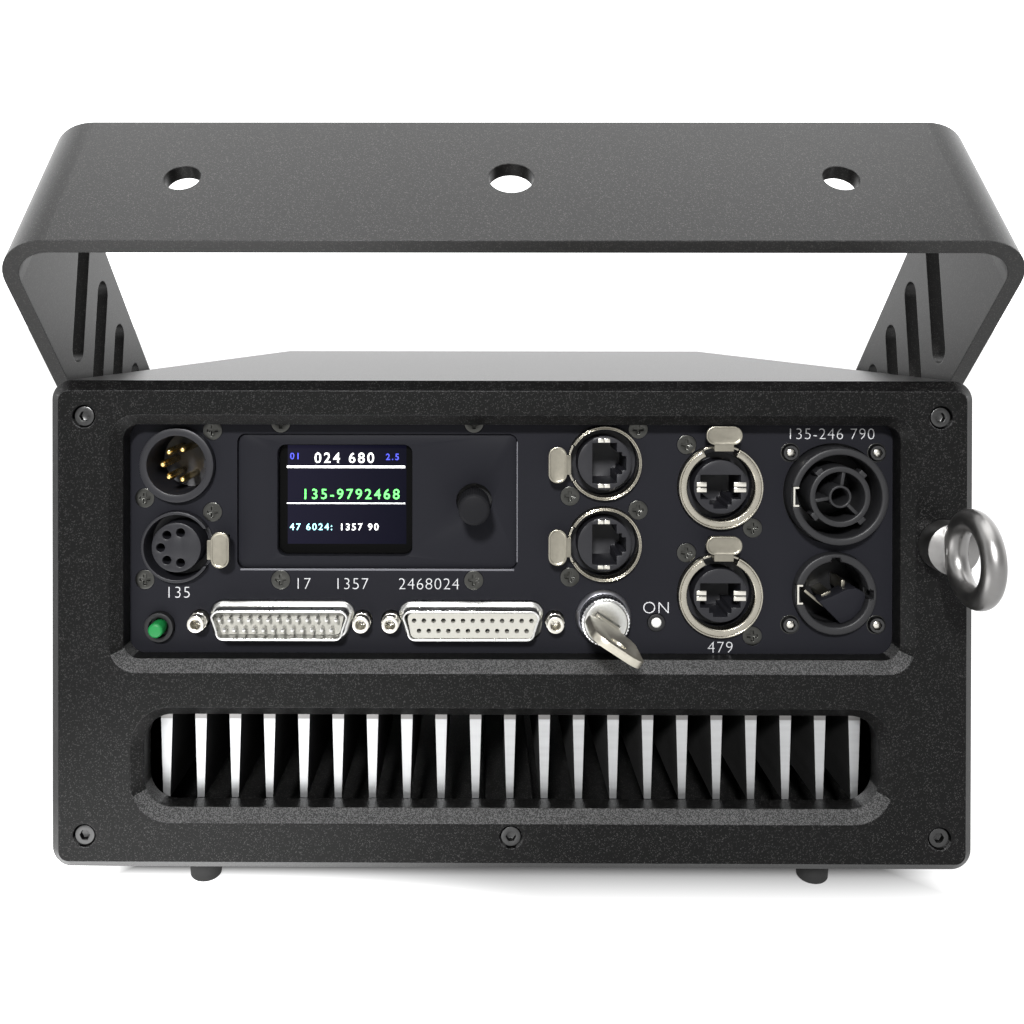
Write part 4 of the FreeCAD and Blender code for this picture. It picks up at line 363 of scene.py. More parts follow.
# Feet: four moulded rubber bumpers, screwed up into the sleeve's floor.
# They taper to the tip and are rounded where they stand.
def moulded(name, colour, rough, grain_size=0.5, depth=0.03):
    material, place = new_finish(name, specular_ior_level=0.25)
    grain = place.noise(1000 / grain_size, 2)
    cloud = place.noise(120)
    return feed(material, base_color=cloud.blend([0.85 * c for c in colour] + [1], [*colour, 1]),
                roughness=rough + 0.1 * grain, normal=grain.bump(0.25, depth * MM))


RUBBER = moulded("black_rubber", (0.013, 0.013, 0.013), 0.7)
feet_low, feet_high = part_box("feet")
FOOT_TOP, FOOT_TIP = 5.5, 4.5
foot_height = (feet_high.z - feet_low.z) / MM
foot_profile = [(0, 0), (FOOT_TIP - 0.8, 0), (FOOT_TIP, 0.8), (FOOT_TOP - 0.25, foot_height - 2),
                (FOOT_TOP, foot_height - 2), (FOOT_TOP, foot_height), (0, foot_height)]
feet = []
for x in (feet_low.x + FOOT_TOP * MM, feet_high.x - FOOT_TOP * MM):
    for y in (feet_low.y + FOOT_TOP * MM, feet_high.y - FOOT_TOP * MM):
        foot = turned(f"foot_{len(feet)}", foot_profile, Vector((x, y, feet_low.z)), (0, 0, 1), 40)
        feet.append(broken_edges(foot, 0.25))
for foot in feet:
    fitted(foot, RUBBER, "housing", "rubber")
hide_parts("feet")


# Connector panel: an aluminium plate, anodised blue-black, behind the rear frame's window.
# Plain numbers and one switch mark are printed on it in white.
def anodised(name, colour, rough):
    material, place = new_finish(name, specular_ior_level=0.04)
    grain = place.noise(1800, 2)
    cloud = place.noise(25, 3)
    return feed(material, base_color=cloud.blend([0.85 * c for c in colour] + [1], [*colour, 1]),
                roughness=rough + 0.1 * grain, normal=grain.bump(0.15, 0.02 * MM))


PANEL_BLACK = anodised("panel_black", (0.009, 0.0091, 0.0114), 0.4)
dress(PANEL_BLACK, "connector_panel")


def painted(name, colour, glow=0.0):
    material, place = new_finish(name, emission_strength=glow)
    cloud = place.noise(700)
    shade = cloud.blend([0.9 * c for c in colour] + [1], [*colour, 1])
    return feed(material, base_color=shade, emission_color=shade, roughness=0.45 + 0.1 * cloud)


INK = 0.02
THINNER = 0.09
CAP_SHARE = 0.69


def lettering(name, words, height, x, y, z, material, slot, weight=-THINNER, spread=1.08):
    """Flat figures, printed on a face that looks to the rear. weight is what their strokes gain."""
    bpy.ops.object.select_all(action="DESELECT")
    bpy.ops.object.text_add(location=(x * MM, y - INK * MM, (z - height / 2) * MM),
                            rotation=(math.radians(90), 0, 0))
    piece = bpy.context.active_object
    piece.name = name
    piece.data.body = words
    piece.data.size = height / CAP_SHARE * MM
    piece.data.align_x = "CENTER"
    piece.data.extrude = INK * MM
    piece.data.offset = weight * MM
    piece.data.space_character = spread
    bpy.ops.object.convert(target="MESH")
    bpy.ops.object.transform_apply(location=True, rotation=True, scale=True)
    return fitted(piece, material, "housing", slot)


WHITE_INK = painted("white_ink", (0.36, 0.36, 0.37))
panel_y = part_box("connector_panel")[0].y
panel_face = panel_y / MM
FIGURES = (("number_data", "135", 3.3, -96.1, 88.4), ("number_beam_in", "17", 3.3, -60, 91),
           ("number_beam", "1357", 3.3, -45.9, 91), ("number_beam_out", "2468024", 3.3, -23.5, 91),
           ("number_network", "479", 3.3, 60.6, 72.9), ("number_power", "135-246 790", 3.2, 92.2, 134.55),
           ("switch_mark", "ON", 3.4, 42.1, 84.3))
for name, words, height, x, z in FIGURES:
    lettering(name, words, height, x, panel_y, z, WHITE_INK, "panel_anodised")


# Panel screws: nickel-plated countersunk screws with a cross recess, and black button heads that
# hold the power sockets, each with a bright socket in its middle.
NICKEL = smooth_metal("nickel_plate", (0.66, 0.64, 0.58), 0.24)
DULL_NICKEL = smooth_metal("dull_nickel", (0.055, 0.055, 0.051), 0.26)
eased("panel_screws", 0.2, DULL_NICKEL)
dress(OXIDE, "power_screws")
BUTTON_HEAD = 2.5
SOCKET_PROFILE = [(0, 0), (1.2, 0), (1.2, 0.5), (0.6, 0.8), (0, 0.8)]
RIM_PROFILE = [(2.55, -0.2), (2.75, -0.2), (2.75, 0.03), (2.55, 0.06)]
screw_low, screw_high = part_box("power_screws")
for side, x in (("left", screw_low.x + BUTTON_HEAD * MM), ("right", screw_high.x - BUTTON_HEAD * MM)):
    for level, z in (("low", screw_low.z + BUTTON_HEAD * MM), ("top", screw_high.z - BUTTON_HEAD * MM)):
        seat = Vector((x, panel_y, z))
        bright = turned(f"screw_socket_{side}_{level}", SOCKET_PROFILE, seat, steps=24)
        fitted(broken_edges(bright, 0.08), NICKEL, "housing", "nickel")
        rim = turned(f"screw_rim_{side}_{level}", RIM_PROFILE, seat, steps=48)
        fitted(broken_edges(rim, 0.02), DULL_NICKEL, "housing", "nickel")


# Display module: an anodised plate a little below the panel's face, with the screen behind its window.
# The recess round it has light grey strips on its lower and right edges, a painted highlight where the light
# falls on them.
eased("display_plate", 0.2, PANEL_BLACK)
# Painted highlight: light grey strips on the recess's lower and right edges.
RECESS_HIGHLIGHT = anodised("recess_highlight", (0.1, 0.1, 0.11), 0.4)
PLATE_LAP, RECESS_SIDE, EDGE_STAND, EDGE_SINK = 5.2, -0.1, 0.03, 0.3
LOW_EDGE, LOW_INSET, SIDE_EDGE, SIDE_INSET = 0.55, 0.8, 0.3, 2


def pushed(x, y, z):
    """Extrudes what is selected by a distance in millimetres."""
    bpy.ops.mesh.extrude_region_move(TRANSFORM_OT_translate={"value": Vector((x, y, z)) * MM})


def extruded(name, corners, depth):
    """Extrudes a ring of corners into a prism, by a depth in millimetres."""
    piece = outlined(name, corners, "NGON")
    pushed(*depth)
    closed()
    return piece


plate_low, plate_high = (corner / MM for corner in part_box("display_plate"))
edge_x, edge_z = plate_high.x + RECESS_SIDE, plate_low.z + PLATE_LAP
front, back = panel_face - EDGE_STAND, panel_face + EDGE_SINK
low_corners = ((back, edge_z), (front, edge_z), (front, edge_z - LOW_EDGE), (back, edge_z - LOW_EDGE))
low_edge = extruded("recess_edge_low", [Vector((plate_low.x + LOW_INSET, y, z)) * MM for y, z in low_corners],
                    (plate_high.x - plate_low.x - 2 * LOW_INSET, 0, 0))
side_corners = ((edge_x, back), (edge_x, front), (edge_x + SIDE_EDGE, front), (edge_x + SIDE_EDGE, back))
right_edge = extruded("recess_edge_right", [Vector((x, y, edge_z + SIDE_INSET)) * MM for x, y in side_corners],
                      (0, 0, plate_high.z - edge_z - PLATE_LAP - 2 * SIDE_INSET))
for edge in (low_edge, right_edge):
    fitted(broken_edges(edge, 0.04), RECESS_HIGHLIGHT, "housing", "panel_anodised")
LIT_LEFT, LIT_RIGHT, LIT_LOW, LIT_TOP = -65.0, -30.3, 101.7, 130.6


def lit_glass():
    """Glass with a black border, lit a little brighter to the left."""
    material, place = new_finish("lit_glass", roughness=0.12, specular_ior_level=0.01, emission_strength=1.0)
    across, up = place.part("X"), place.part("Z")
    inside = (across > LIT_LEFT * MM) * (across < LIT_RIGHT * MM) * (up > LIT_LOW * MM) * (up < LIT_TOP * MM)
    ease = across.node("MapRange", {}, {"Value": across, "From Min": LIT_LEFT * MM,
                                        "From Max": LIT_RIGHT * MM})
    glow = ease.blend((0.011, 0.01, 0.026, 1), (0.002, 0.002, 0.011, 1))
    return feed(material, base_color=place.noise(40).blend(grey(0.002), grey(0.003)),
                emission_color=inside.blend(grey(0), glow))


dress(lit_glass(), "display_screen")
screen_low, screen_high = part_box("display_screen")
screen_x, screen_z = (screen_low.x + screen_high.x) / 2 / MM, (screen_low.z + screen_high.z) / 2 / MM
GLOW_WHITE = painted("glow_white", (0.85, 0.85, 0.85), 0.8)
GLOW_GREEN = painted("glow_green", (0.1, 0.8, 0.12), 0.8)
GLOW_BLUE = painted("glow_blue", (0.03, 0.04, 0.5), 0.5)
GLOW_CYAN = painted("glow_cyan", (0.3, 0.75, 0.85), 0.8)
SCREEN_WEIGHT, SCREEN_SPREAD = 0.04, 1.3
PICTURE = (("screen_corner_left", "01", 1.8, -14.9, 12.5, GLOW_BLUE),
           ("screen_title", "024 680", 2.9, -0.5, 12, GLOW_WHITE),
           ("screen_corner_right", "2.5", 1.8, 13.6, 12.3, GLOW_BLUE),
           ("screen_channel", "135-9792468", 2.9, 1.4, 1.4, GLOW_GREEN),
           ("screen_mode", "47 6024:", 1.9, -10.2, -8.2, GLOW_CYAN),
           ("screen_state", "1357 90", 1.9, 3.8, -8.2, GLOW_WHITE))
for name, words, height, x, z, ink in PICTURE:
    lettering(name, words, height, screen_x + x, screen_low.y, screen_z + z, ink, "screen_glass",
              SCREEN_WEIGHT, SCREEN_SPREAD)


def flat_block(name, low, high, material, slot, edge=0.05):
    """A small block on the body between two corners, in millimetres, with broken edges."""
    corners = ((low[0], low[2]), (high[0], low[2]), (high[0], high[2]), (low[0], high[2]))
    piece = extruded(name, [Vector((x, low[1], z)) * MM for x, z in corners], (0, high[1] - low[1], 0))
    return fitted(broken_edges(piece, edge), material, "housing", slot)


RULE_HALF, RULE_STAND = 17.3, 0.03
screen_y = screen_low.y / MM
for name, z, thick in (("screen_rule_top", 9.0, 0.7), ("screen_rule_middle", -1.5, 0.35)):
    flat_block(name, (screen_x - RULE_HALF, screen_y - RULE_STAND, screen_z + z),
               (screen_x + RULE_HALF, screen_y, screen_z + z + thick), GLOW_WHITE, "screen_glass", 0.005)


# Encoder knob: black anodised aluminium with a straight knurl and a bevelled tip. It is pushed on
# the encoder's nickel shaft, whose body is fixed behind the display plate.
BLACK_PLASTIC = moulded("black_plastic", (0.006, 0.006, 0.0065), 0.42)
KNURL_DEPTH, KNURL_TEETH = 0.22, 40


def knurled(name, centre, radius, length, edge):
    """A rod with a straight knurl. Its outer end looks to the rear and has a bevelled edge."""
    count = 2 * KNURL_TEETH
    spokes = [((radius - KNURL_DEPTH * (n % 2)) * MM, 2 * math.pi * n / count) for n in range(count)]
    corners = [centre + Vector((r * math.cos(t), 0, r * math.sin(t))) for r, t in spokes]
    piece = outlined(name, corners, "NGON")
    pushed(0, edge - length, 0)
    pushed(0, -edge, 0)
    shrink = (radius - KNURL_DEPTH - edge) / radius
    bpy.ops.transform.resize(value=(shrink, 1, shrink), center_override=centre - Vector((0, length * MM, 0)))
    closed()
    return piece


knob_low, knob_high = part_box("encoder_knob")
knob_centre = Vector(((knob_low.x + knob_high.x) / 2, knob_high.y, (knob_low.z + knob_high.z) / 2))
knob_radius = (knob_high.x - knob_low.x) / 2 / MM
knob = knurled("encoder_knob_knurled", knob_centre, knob_radius, (knob_high.y - knob_low.y) / MM, 0.5)
KNOB_BLACK = anodised("knob_black", (0.008, 0.008, 0.009), 0.38)
fitted(broken_edges(knob, 0.05, 1, 40), KNOB_BLACK, "encoder_knob", "black_plastic", "encoder_knob")
dress(NICKEL, "encoder_shaft")
dress(BLACK_PLASTIC, "encoder_body")


# Five-pin sockets: shells moulded in slate-black plastic, screwed to the panel from the front.
# The male one has turned pins, plated with gold.
SLATE = moulded("slate_plastic", (0.0085, 0.0085, 0.0105), 0.36, 0.4, 0.02)
GOLD = smooth_metal("gold_plate", (0.9, 0.66, 0.26), 0.18)
eased("xlr_male_shell", 0.25, SLATE)
eased("xlr_female_shell", 0.2, SLATE)
XLR_PIN, XLR_PIN_CIRCLE, XLR_PIN_LONG = 1.1, 4.5, 14.8
PIN_PROFILE = [(0, 0), (XLR_PIN, 0), (XLR_PIN, XLR_PIN_LONG - 1.3), (XLR_PIN - 0.2, XLR_PIN_LONG - 0.6),
               (XLR_PIN - 0.6, XLR_PIN_LONG - 0.12), (0, XLR_PIN_LONG)]
shell_low, shell_high = (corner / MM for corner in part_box("xlr_male_shell"))
shell_x, shell_z = (shell_low.x + shell_high.x) / 2, (shell_low.z + shell_high.z) / 2
pin_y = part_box("xlr_male_pins")[1].y / MM
for turn in (74, 127, 180, 233, 286):
    across, up = XLR_PIN_CIRCLE * math.cos(math.radians(turn)), XLR_PIN_CIRCLE * math.sin(math.radians(turn))
    seat = Vector((shell_x + across, pin_y, shell_z + up)) * MM
    pin = turned(f"xlr_pin_{turn}", PIN_PROFILE, seat, steps=24)
    fitted(broken_edges(pin, 0.1), GOLD, "housing", "gold")
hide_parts("xlr_male_pins")


# Release tabs: nickel-plated plates with a raised rim, on a stem that slides through the panel.
# Each has a neck that reaches through the break in its socket's lip.
def rounded_corners(width, height, radius, steps=6):
    """A rectangle with round corners, round the origin."""
    points = []
    for turn, (across, up) in enumerate(((1, 1), (-1, 1), (-1, -1), (1, -1))):
        for n in range(steps + 1):
            angle = math.radians(90 * (turn + n / steps))
            points.append((across * (width / 2 - radius) + radius * math.cos(angle),
                           up * (height / 2 - radius) + radius * math.sin(angle)))
    return points


def rear_face(points, x, y, z):
    """Lays flat points out in a face that looks to the rear."""
    return [Vector((x + a, y, z + b)) * MM for a, b in points]


TAB_NICKEL = smooth_metal("tab_nickel", (0.245, 0.23, 0.19), 0.28, 0.14, 900)
TAB_BREADTH, TAB_LENGTH, TAB_ROUND, TAB_THICK, TAB_STEM = 5.2, 10.2, 2.5, 1.4, 2.4
TAB_RIM, TAB_DISH, TAB_NECK, TAB_TONGUE = 0.45, 0.15, 5.5, 3.9


def release_tab(node, way, lap):
    """way is where the socket lies: -1 or 1 along X, or 0 below the tab. lap is the tongue's thickness."""
    low, high = (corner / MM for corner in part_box(node))
    half = TAB_NECK / 2
    if way:
        x = low.x + TAB_BREADTH / 2 if way > 0 else high.x - TAB_BREADTH / 2
        z, size = (low.z + high.z) / 2, (TAB_BREADTH, TAB_LENGTH)
        tip = (high.x if way > 0 else low.x) - x
        spans = [(0, tip - way * lap / 2), (tip - way * lap, tip - way * lap / 2)]
        neck, hook = [[(a, -half), (a, half), (b, half), (b, -half)] for a, b in spans]
    else:
        x, z, size = (low.x + high.x) / 2, high.z - TAB_BREADTH / 2, (TAB_LENGTH, TAB_BREADTH)
        tip = low.z - z
        spans = [(0, tip + lap / 2), (tip + lap, tip + lap / 2)]
        neck, hook = [[(-half, a), (half, a), (half, b), (-half, b)] for a, b in spans]
    back = low.y + TAB_THICK
    plate = outlined(f"{node}_plate", rear_face(rounded_corners(*size, TAB_ROUND), x, back, z), "NGON")
    pushed(0, -TAB_THICK, 0)
    bpy.ops.mesh.inset(thickness=TAB_RIM * MM, depth=0)
    bpy.ops.mesh.inset(thickness=TAB_DISH * MM, depth=-TAB_DISH * MM)
    closed()
    bridge = extruded(f"{node}_neck", rear_face(neck, x, back, z), (0, TAB_DISH + 0.2 - TAB_THICK, 0))
    tongue = extruded(f"{node}_tongue", rear_face(hook, x, low.y + TAB_TONGUE, z), (0, 0.5 - TAB_TONGUE, 0))
    stem = extruded(f"{node}_stem", rear_face(rounded_corners(TAB_STEM, TAB_STEM, 0.2, 2), x, high.y, z),
                    (0, back - 0.2 - high.y, 0))
    piece = broken_edges(joined(f"{node}_pressed", [plate, bridge, tongue, stem]), 0.12)
    fitted(piece, TAB_NICKEL, node, "nickel", node)


release_tab("xlr_tab", -1, 1.25)
release_tab("network_tab_1", 1, 1.4)
release_tab("network_tab_2", 1, 1.4)
release_tab("network_tab_3", 0, 2.8)
release_tab("network_tab_4", 0, 2.8)


# Network sockets: a nickel ring through the panel, broken where the tab's neck passes, round a
# moulded insert with gold wires in its opening and two pairs of shield springs beside it. A thin arc on
# each tab's tongue carries the ring's line across the break.
RING_NICKEL = smooth_metal("ring_nickel", (0.35, 0.33, 0.28), 0.2, 0.14, 500)
NET_MID_RADIUS, NET_MID_WALL, NET_END_RADIUS, NET_END_WALL = 10.7, 1.0, 12.15, 2.4
NET_STAND, NET_SINK, NET_LIP, TAB_REACH, ARC, ARC_LOW = 2.0, 0.8, 1.7, 17.85, 0.6, 0.2
ring_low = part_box("network_rings")[0]
NETWORK = []
for number in (1, 2, 3, 4):
    low, high = (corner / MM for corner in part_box(f"network_tab_{number}"))
    if number < 3:
        x, z = ring_low.x / MM + NET_MID_RADIUS, (low.z + high.z) / 2
        NETWORK.append((number, x, z, NET_MID_RADIUS, NET_MID_WALL, 180))
    else:
        x, z = (low.x + high.x) / 2, high.z - TAB_REACH
        NETWORK.append((number, x, z, NET_END_RADIUS, NET_END_WALL, 90))
for number, x, z, radius, wall, way in NETWORK:
    seat = Vector((x, panel_face, z)) * MM
    gap = 2 * math.degrees(math.asin((TAB_LENGTH / 2 + 0.3) / radius))
    inner = radius - wall
    profile = [(inner, -NET_STAND), (radius, -NET_STAND), (radius, NET_LIP), (radius - 0.15, NET_STAND)]
    if number < 3:
        profile += [(radius - 0.3, NET_STAND), (radius - 0.42, NET_STAND - 0.25),
                    (inner + 0.42, NET_STAND - 0.25), (inner + 0.3, NET_STAND), (inner + 0.15, NET_STAND)]
    else:
        profile += [(radius - 0.5, NET_STAND - 0.05), (radius - 0.6, NET_STAND - 0.2),
                    (radius - 0.7, NET_STAND), (inner + 0.25, NET_STAND)]
    profile.append((inner, NET_STAND - 0.25))
    ring = turned(f"network_ring_{number}", profile, seat, (0, -1, 0), 96, 360 - gap, way - gap / 2)
    fitted(broken_edges(ring, 0.06), RING_NICKEL, "housing", "nickel")
    profile = [(radius - ARC, ARC_LOW), (radius, ARC_LOW), (radius, NET_LIP), (radius - ARC, NET_LIP)]
    arc = turned(f"tongue_arc_{number}", profile, seat, (0, -1, 0), 24, gap - 3, way + gap / 2 - 1.5)
    fitted(broken_edges(arc, 0.08), RING_NICKEL, f"network_tab_{number}", "nickel")
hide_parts("network_rings")
eased("network_inserts", 0.12, SLATE)
insert_y = panel_face - NET_STAND + NET_SINK
for number, x, z, _, _, way in NETWORK:
    sideways = way == 180
    for side in (-1, 1):
        for half in (-1, 1):
            along, across = (side * 6.5, half * 0.9 - 0.2) if sideways else (side * 5.5, half * 0.8)
            wide, tall = (0.8, 0.55) if sideways else (1.4 + 0.35 * (side > 0), 0.62)
            mid_x, mid_z = (x + across, z + along) if sideways else (x + along, z + across)
            flat_block(f"shield_spring_{number}_{side + 1}_{half + 1}",
                       (mid_x - wide, insert_y - 0.35, mid_z - tall),
                       (mid_x + wide, insert_y + 0.2, mid_z + tall), NICKEL, "nickel")
    for wire in range(8):
        offset = 1.02 * (wire - 3.5)
        mid_x, mid_z = (x - 2.9, z + offset) if sideways else (x + offset, z + 2.9)
        flat_block(f"contact_wire_{number}_{wire}", (mid_x - 0.22, insert_y + 8, mid_z - 0.22),
                   (mid_x + 0.22, insert_y + 13, mid_z + 0.22), GOLD, "gold")


# Power sockets: glass-filled nylon, inlet and outlet on one flange behind the panel, with bright
# spring latches in their left walls and plated blades in the inlet.
NYLON = moulded("grey_black_nylon", (0.011, 0.011, 0.012), 0.4, 0.35, 0.03)
POWER_BASE, OUT_RADIUS, OUT_BORE, OUT_STAND, OUT_FLOOR = 14.4, 13.85, 11.8, 5.7, -6.3
CORE_RADIUS, CORE_BORE, HUB_RADIUS, HUB_BORE = 8.6, 7.0, 3.2, 2.5
IN_RADIUS, IN_BORE, IN_STAND, IN_FLOOR, CLIP_HEIGHT, NOTCH = 11.7, 9.4, 2.6, -12.0, 5.6, 5.8


def sleeve(name, outer, inner, stand, floor, seat, ease):
    """A tube with rounded rim edges, from a floor below the panel to its stand above it."""
    turn = 0.3 * ease
    return turned(name, [(inner, floor), (outer, floor), (outer, stand - ease), (outer - turn, stand - turn),
                         (outer - ease, stand), (inner + ease, stand), (inner + turn, stand - turn),
                         (inner, stand - ease)], seat, steps=96)


def plug(name, radius, low, high, seat):
    """A plain round plug between two heights over the panel."""
    return turned(name, [(0, low), (radius, low), (radius, high), (0, high)], seat, steps=96)


def bar(name, seat, angle, near, far, width, low, high):
    """A bar that stands out from a seat at an angle, between two heights over the panel."""
    out = Vector((math.cos(math.radians(angle)), 0, math.sin(math.radians(angle))))
    side = Vector((-out.z, 0, out.x)) * width / 2
    base = Vector((0, -low, 0))
    corners = [out * near - side, out * far - side, out * far + side, out * near + side]
    return extruded(name, [seat + (corner + base) * MM for corner in corners], (0, low - high, 0))


def trimmed(piece, *tools):
    """Takes tools away from a piece."""
    for tool in tools:
        alone(piece)
        bite = piece.modifiers.new("bite", "BOOLEAN")
        bite.operation = "DIFFERENCE"
        bite.solver = "EXACT"
        bite.object = tool
        bpy.ops.object.modifier_apply(modifier=bite.name)
        bpy.data.objects.remove(tool)
    return piece


power_low, power_high = (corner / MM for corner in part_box("power_socket"))
clip_low, clip_high = (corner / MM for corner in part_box("power_clips"))
power_x = (power_low.x + power_high.x) / 2
out_seat = Vector((power_x, panel_face, clip_high.z - CLIP_HEIGHT / 2)) * MM
in_seat = Vector((power_x, panel_face, clip_low.z + CLIP_HEIGHT / 2)) * MM
flange_corners = ((power_low.x, power_low.z), (power_high.x, power_low.z),
                  (power_high.x, power_high.z), (power_low.x, power_high.z))
flange = extruded("power_flange", rear_face(flange_corners, 0, panel_face + 5, 0), (0, -3, 0))
flange = trimmed(flange, plug("outlet_drill", OUT_BORE, -6, 0, out_seat),
                 plug("inlet_drill", IN_BORE, -6, 0, in_seat))
out_floor = plug("outlet_floor", POWER_BASE, OUT_FLOOR - 3, OUT_FLOOR, out_seat)
in_floor = plug("inlet_floor", IN_RADIUS, IN_FLOOR - 3, IN_FLOOR, in_seat)
outlet = trimmed(sleeve("outlet_sleeve", OUT_RADIUS, OUT_BORE, OUT_STAND, OUT_FLOOR, out_seat, 0.5),
                 bar("outlet_notch", out_seat, 180, OUT_BORE - 1, OUT_RADIUS - 0.4, NOTCH,
                     OUT_STAND - 3, OUT_STAND + 1))
inlet = trimmed(sleeve("inlet_sleeve", IN_RADIUS, IN_BORE, IN_STAND, IN_FLOOR, in_seat, 0.4),
                bar("inlet_notch", in_seat, 180, IN_BORE - 1, IN_RADIUS - 0.4, NOTCH,
                    IN_STAND - 3, IN_STAND + 1),
                bar("inlet_key_top", in_seat, 90, IN_BORE - 1, IN_BORE + 1.2, 2.5, IN_FLOOR, IN_STAND + 1),
                bar("inlet_key_right", in_seat, 0, IN_BORE - 1, IN_BORE + 1.4, 2.5, IN_FLOOR, IN_STAND + 1))
core = sleeve("outlet_core", CORE_RADIUS, CORE_BORE, OUT_STAND, OUT_FLOOR, out_seat, 0.3)
hub = sleeve("outlet_hub", HUB_RADIUS, HUB_BORE, OUT_STAND, OUT_FLOOR, out_seat, 0.2)
power_parts = [broken_edges(outlet, 0.15), broken_edges(inlet, 0.15), flange, out_floor, in_floor, core, hub]
for n, angle in enumerate((80, 190, 315)):
    power_parts.append(bar(f"outlet_spoke_{n}", out_seat, angle, HUB_RADIUS - 0.3, CORE_BORE + 0.3, 0.9,
                           OUT_FLOOR, OUT_STAND - 0.6))
for n, angle in enumerate((45, 130, 218, 312)):
    power_parts.append(bar(f"outlet_lug_{n}", out_seat, angle, CORE_RADIUS - 0.3, CORE_RADIUS + 1.1, 2.2,
                           OUT_STAND - 4, OUT_STAND - 0.2))
for piece in power_parts:
    plastic = BLACK_PLASTIC if piece in (flange, out_floor, in_floor) else NYLON
    fitted(broken_edges(piece, 0.06), plastic, "housing", "black_plastic")
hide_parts("power_socket")
RAMP = ((2, -8.9), (-4.3, -2.5), (-0.3, -0.9), (3.6, 1), (6.3, 1.4), (8.9, 0), (9, -1.4), (7.8, -4.8),
        (5.2, -7.5))
ramp = extruded("inlet_ramp", rear_face(RAMP, in_seat.x / MM, panel_face - 0.8, in_seat.z / MM), (0, 6, 0))
fitted(broken_edges(ramp, 0.2), PANEL_BLACK, "housing", "black_plastic")
CONTACTS = ((3.8, 1.2, 90, 3.4, 1.1), (-4.6, -2.4, -39, 7.2, 0.8), (-0.9, -1.6, 24, 3, 1.8))
for n, (x, z, angle, long, wide) in enumerate(CONTACTS):
    seat = in_seat + Vector((x, 0, z)) * MM
    contact = bar(f"inlet_contact_{n}", seat, angle, -long / 2, long / 2, wide, IN_FLOOR, -2.5)
    fitted(broken_edges(contact, 0.15), TAB_NICKEL, "housing", "nickel")
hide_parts("power_contacts")
dress(NICKEL, "power_clips")


# D-subs: drawn steel shells, tin-plated, round moulded inserts, one with pins and one with sockets.
# Nickel jackscrews at each end hold them to the panel.
TIN = smooth_metal("tin_plate", (0.56, 0.56, 0.545), 0.22, 0.12, 250)
CREAM = moulded("cream_insulator", (0.265, 0.26, 0.235), 0.45, 0.4, 0.02)
DSUB_TOP, DSUB_LOW, DSUB_HIGH, DSUB_CORNER = 19.5, 18.1, 4.3, 2.3
DSUB_COLLAR, DSUB_COLLAR_HEIGHT, DSUB_STAND, DSUB_WALL = 1.3, 1.3, 6.0, 0.6
DSUB_ROOT, DSUB_SHOULDER = 2, 0.75


def dsub_outline(grow, steps=6):
    """A D shape with round corners, larger all round by grow. Its first corner begins a shade early."""
    corner, points = DSUB_CORNER + grow, []
    early = math.atan2(DSUB_TOP - DSUB_LOW, 2 * DSUB_HIGH)
    for across, up, begin, end in ((1, 1, -early, 90), (-1, 1, 90, 180), (-1, -1, 180, 270), (1, -1, 270, 360)):
        half = (DSUB_TOP if up > 0 else DSUB_LOW) + grow
        for n in range(steps + 1):
            angle = math.radians(begin + (end - begin) * n / steps)
            points.append((across * (half - corner) + corner * math.cos(angle),
                           up * (DSUB_HIGH + grow - corner) + corner * math.sin(angle)))
    return points


dsub_low, dsub_high = (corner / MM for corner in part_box("dsub_shells"))
dsub_z = (dsub_low.z + dsub_high.z) / 2
dsub_half = DSUB_TOP + DSUB_COLLAR
for name, x in (("male", dsub_low.x + dsub_half), ("female", dsub_high.x - dsub_half)):
    outline = rear_face(dsub_outline(DSUB_COLLAR), x, panel_face + DSUB_ROOT, dsub_z)
    shell = outlined(f"dsub_shell_{name}", outline, "NGON")
    pushed(0, -DSUB_ROOT - DSUB_COLLAR_HEIGHT / 2, 0)
    bpy.ops.mesh.inset(thickness=DSUB_SHOULDER * MM, depth=0.6 * MM)
    bpy.ops.mesh.inset(thickness=(DSUB_COLLAR - DSUB_SHOULDER) * MM, depth=0.05 * MM)
    pushed(0, DSUB_COLLAR_HEIGHT - DSUB_STAND, 0)
    bpy.ops.mesh.inset(thickness=DSUB_WALL * MM, depth=0)
    pushed(0, DSUB_STAND, 0)
    closed()
    fitted(broken_edges(shell, 0.18), TIN, "housing", "nickel")
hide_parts("dsub_shells")
dress(CREAM, "dsub_inserts")
eased("dsub_pins", 0.15, TIN)
eased("jackscrews", 0.2, NICKEL)


# Key switch: a chromed barrel with a coarse knurl, on a grey washer. Its brushed face has a keyway
# and turns with the key, which is cut from nickel-plated sheet.
CHROME = smooth_metal("bright_chrome", (0.8, 0.8, 0.8), 0.07, 0.05)
BRUSHED = smooth_metal("brushed_face", (0.5, 0.5, 0.48), 0.3, 0.15, 1500)
KEY_NICKEL = smooth_metal("key_nickel", (0.56, 0.53, 0.45), 0.3, 0.15, 900)
rotor_low, rotor_high = (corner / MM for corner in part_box("key_rotor"))
key_x, key_z = (rotor_low.x + rotor_high.x) / 2, (rotor_low.z + rotor_high.z) / 2
key_seat = Vector((key_x, panel_face, key_z)) * MM
KEY_BARREL, KEY_ROOT, KEY_STAND, KEY_WASHER, KEY_FACE, KEY_TURN = 7.0, 10, 6.0, 8.1, 6.1, 33
KEY_BLADE, KEY_THICK, KEY_NECK, KEY_BOW_WIDE, KEY_BOW_LONG, KEY_BOW_ROUND = 7.5, 2.2, 6.0, 15.5, 20.0, 4.5
WASHER_GREY = smooth_metal("washer_grey", (0.2, 0.2, 0.22), 0.3)
washer_profile = [(KEY_BARREL, 0), (KEY_WASHER, 0), (KEY_WASHER, 0.3), (KEY_BARREL + 0.2, 1.3),
                  (KEY_BARREL, 1.3)]
washer = turned("key_washer_ring", washer_profile, key_seat, steps=72)
fitted(broken_edges(washer, 0.1), WASHER_GREY, "housing", "chrome_bezel")
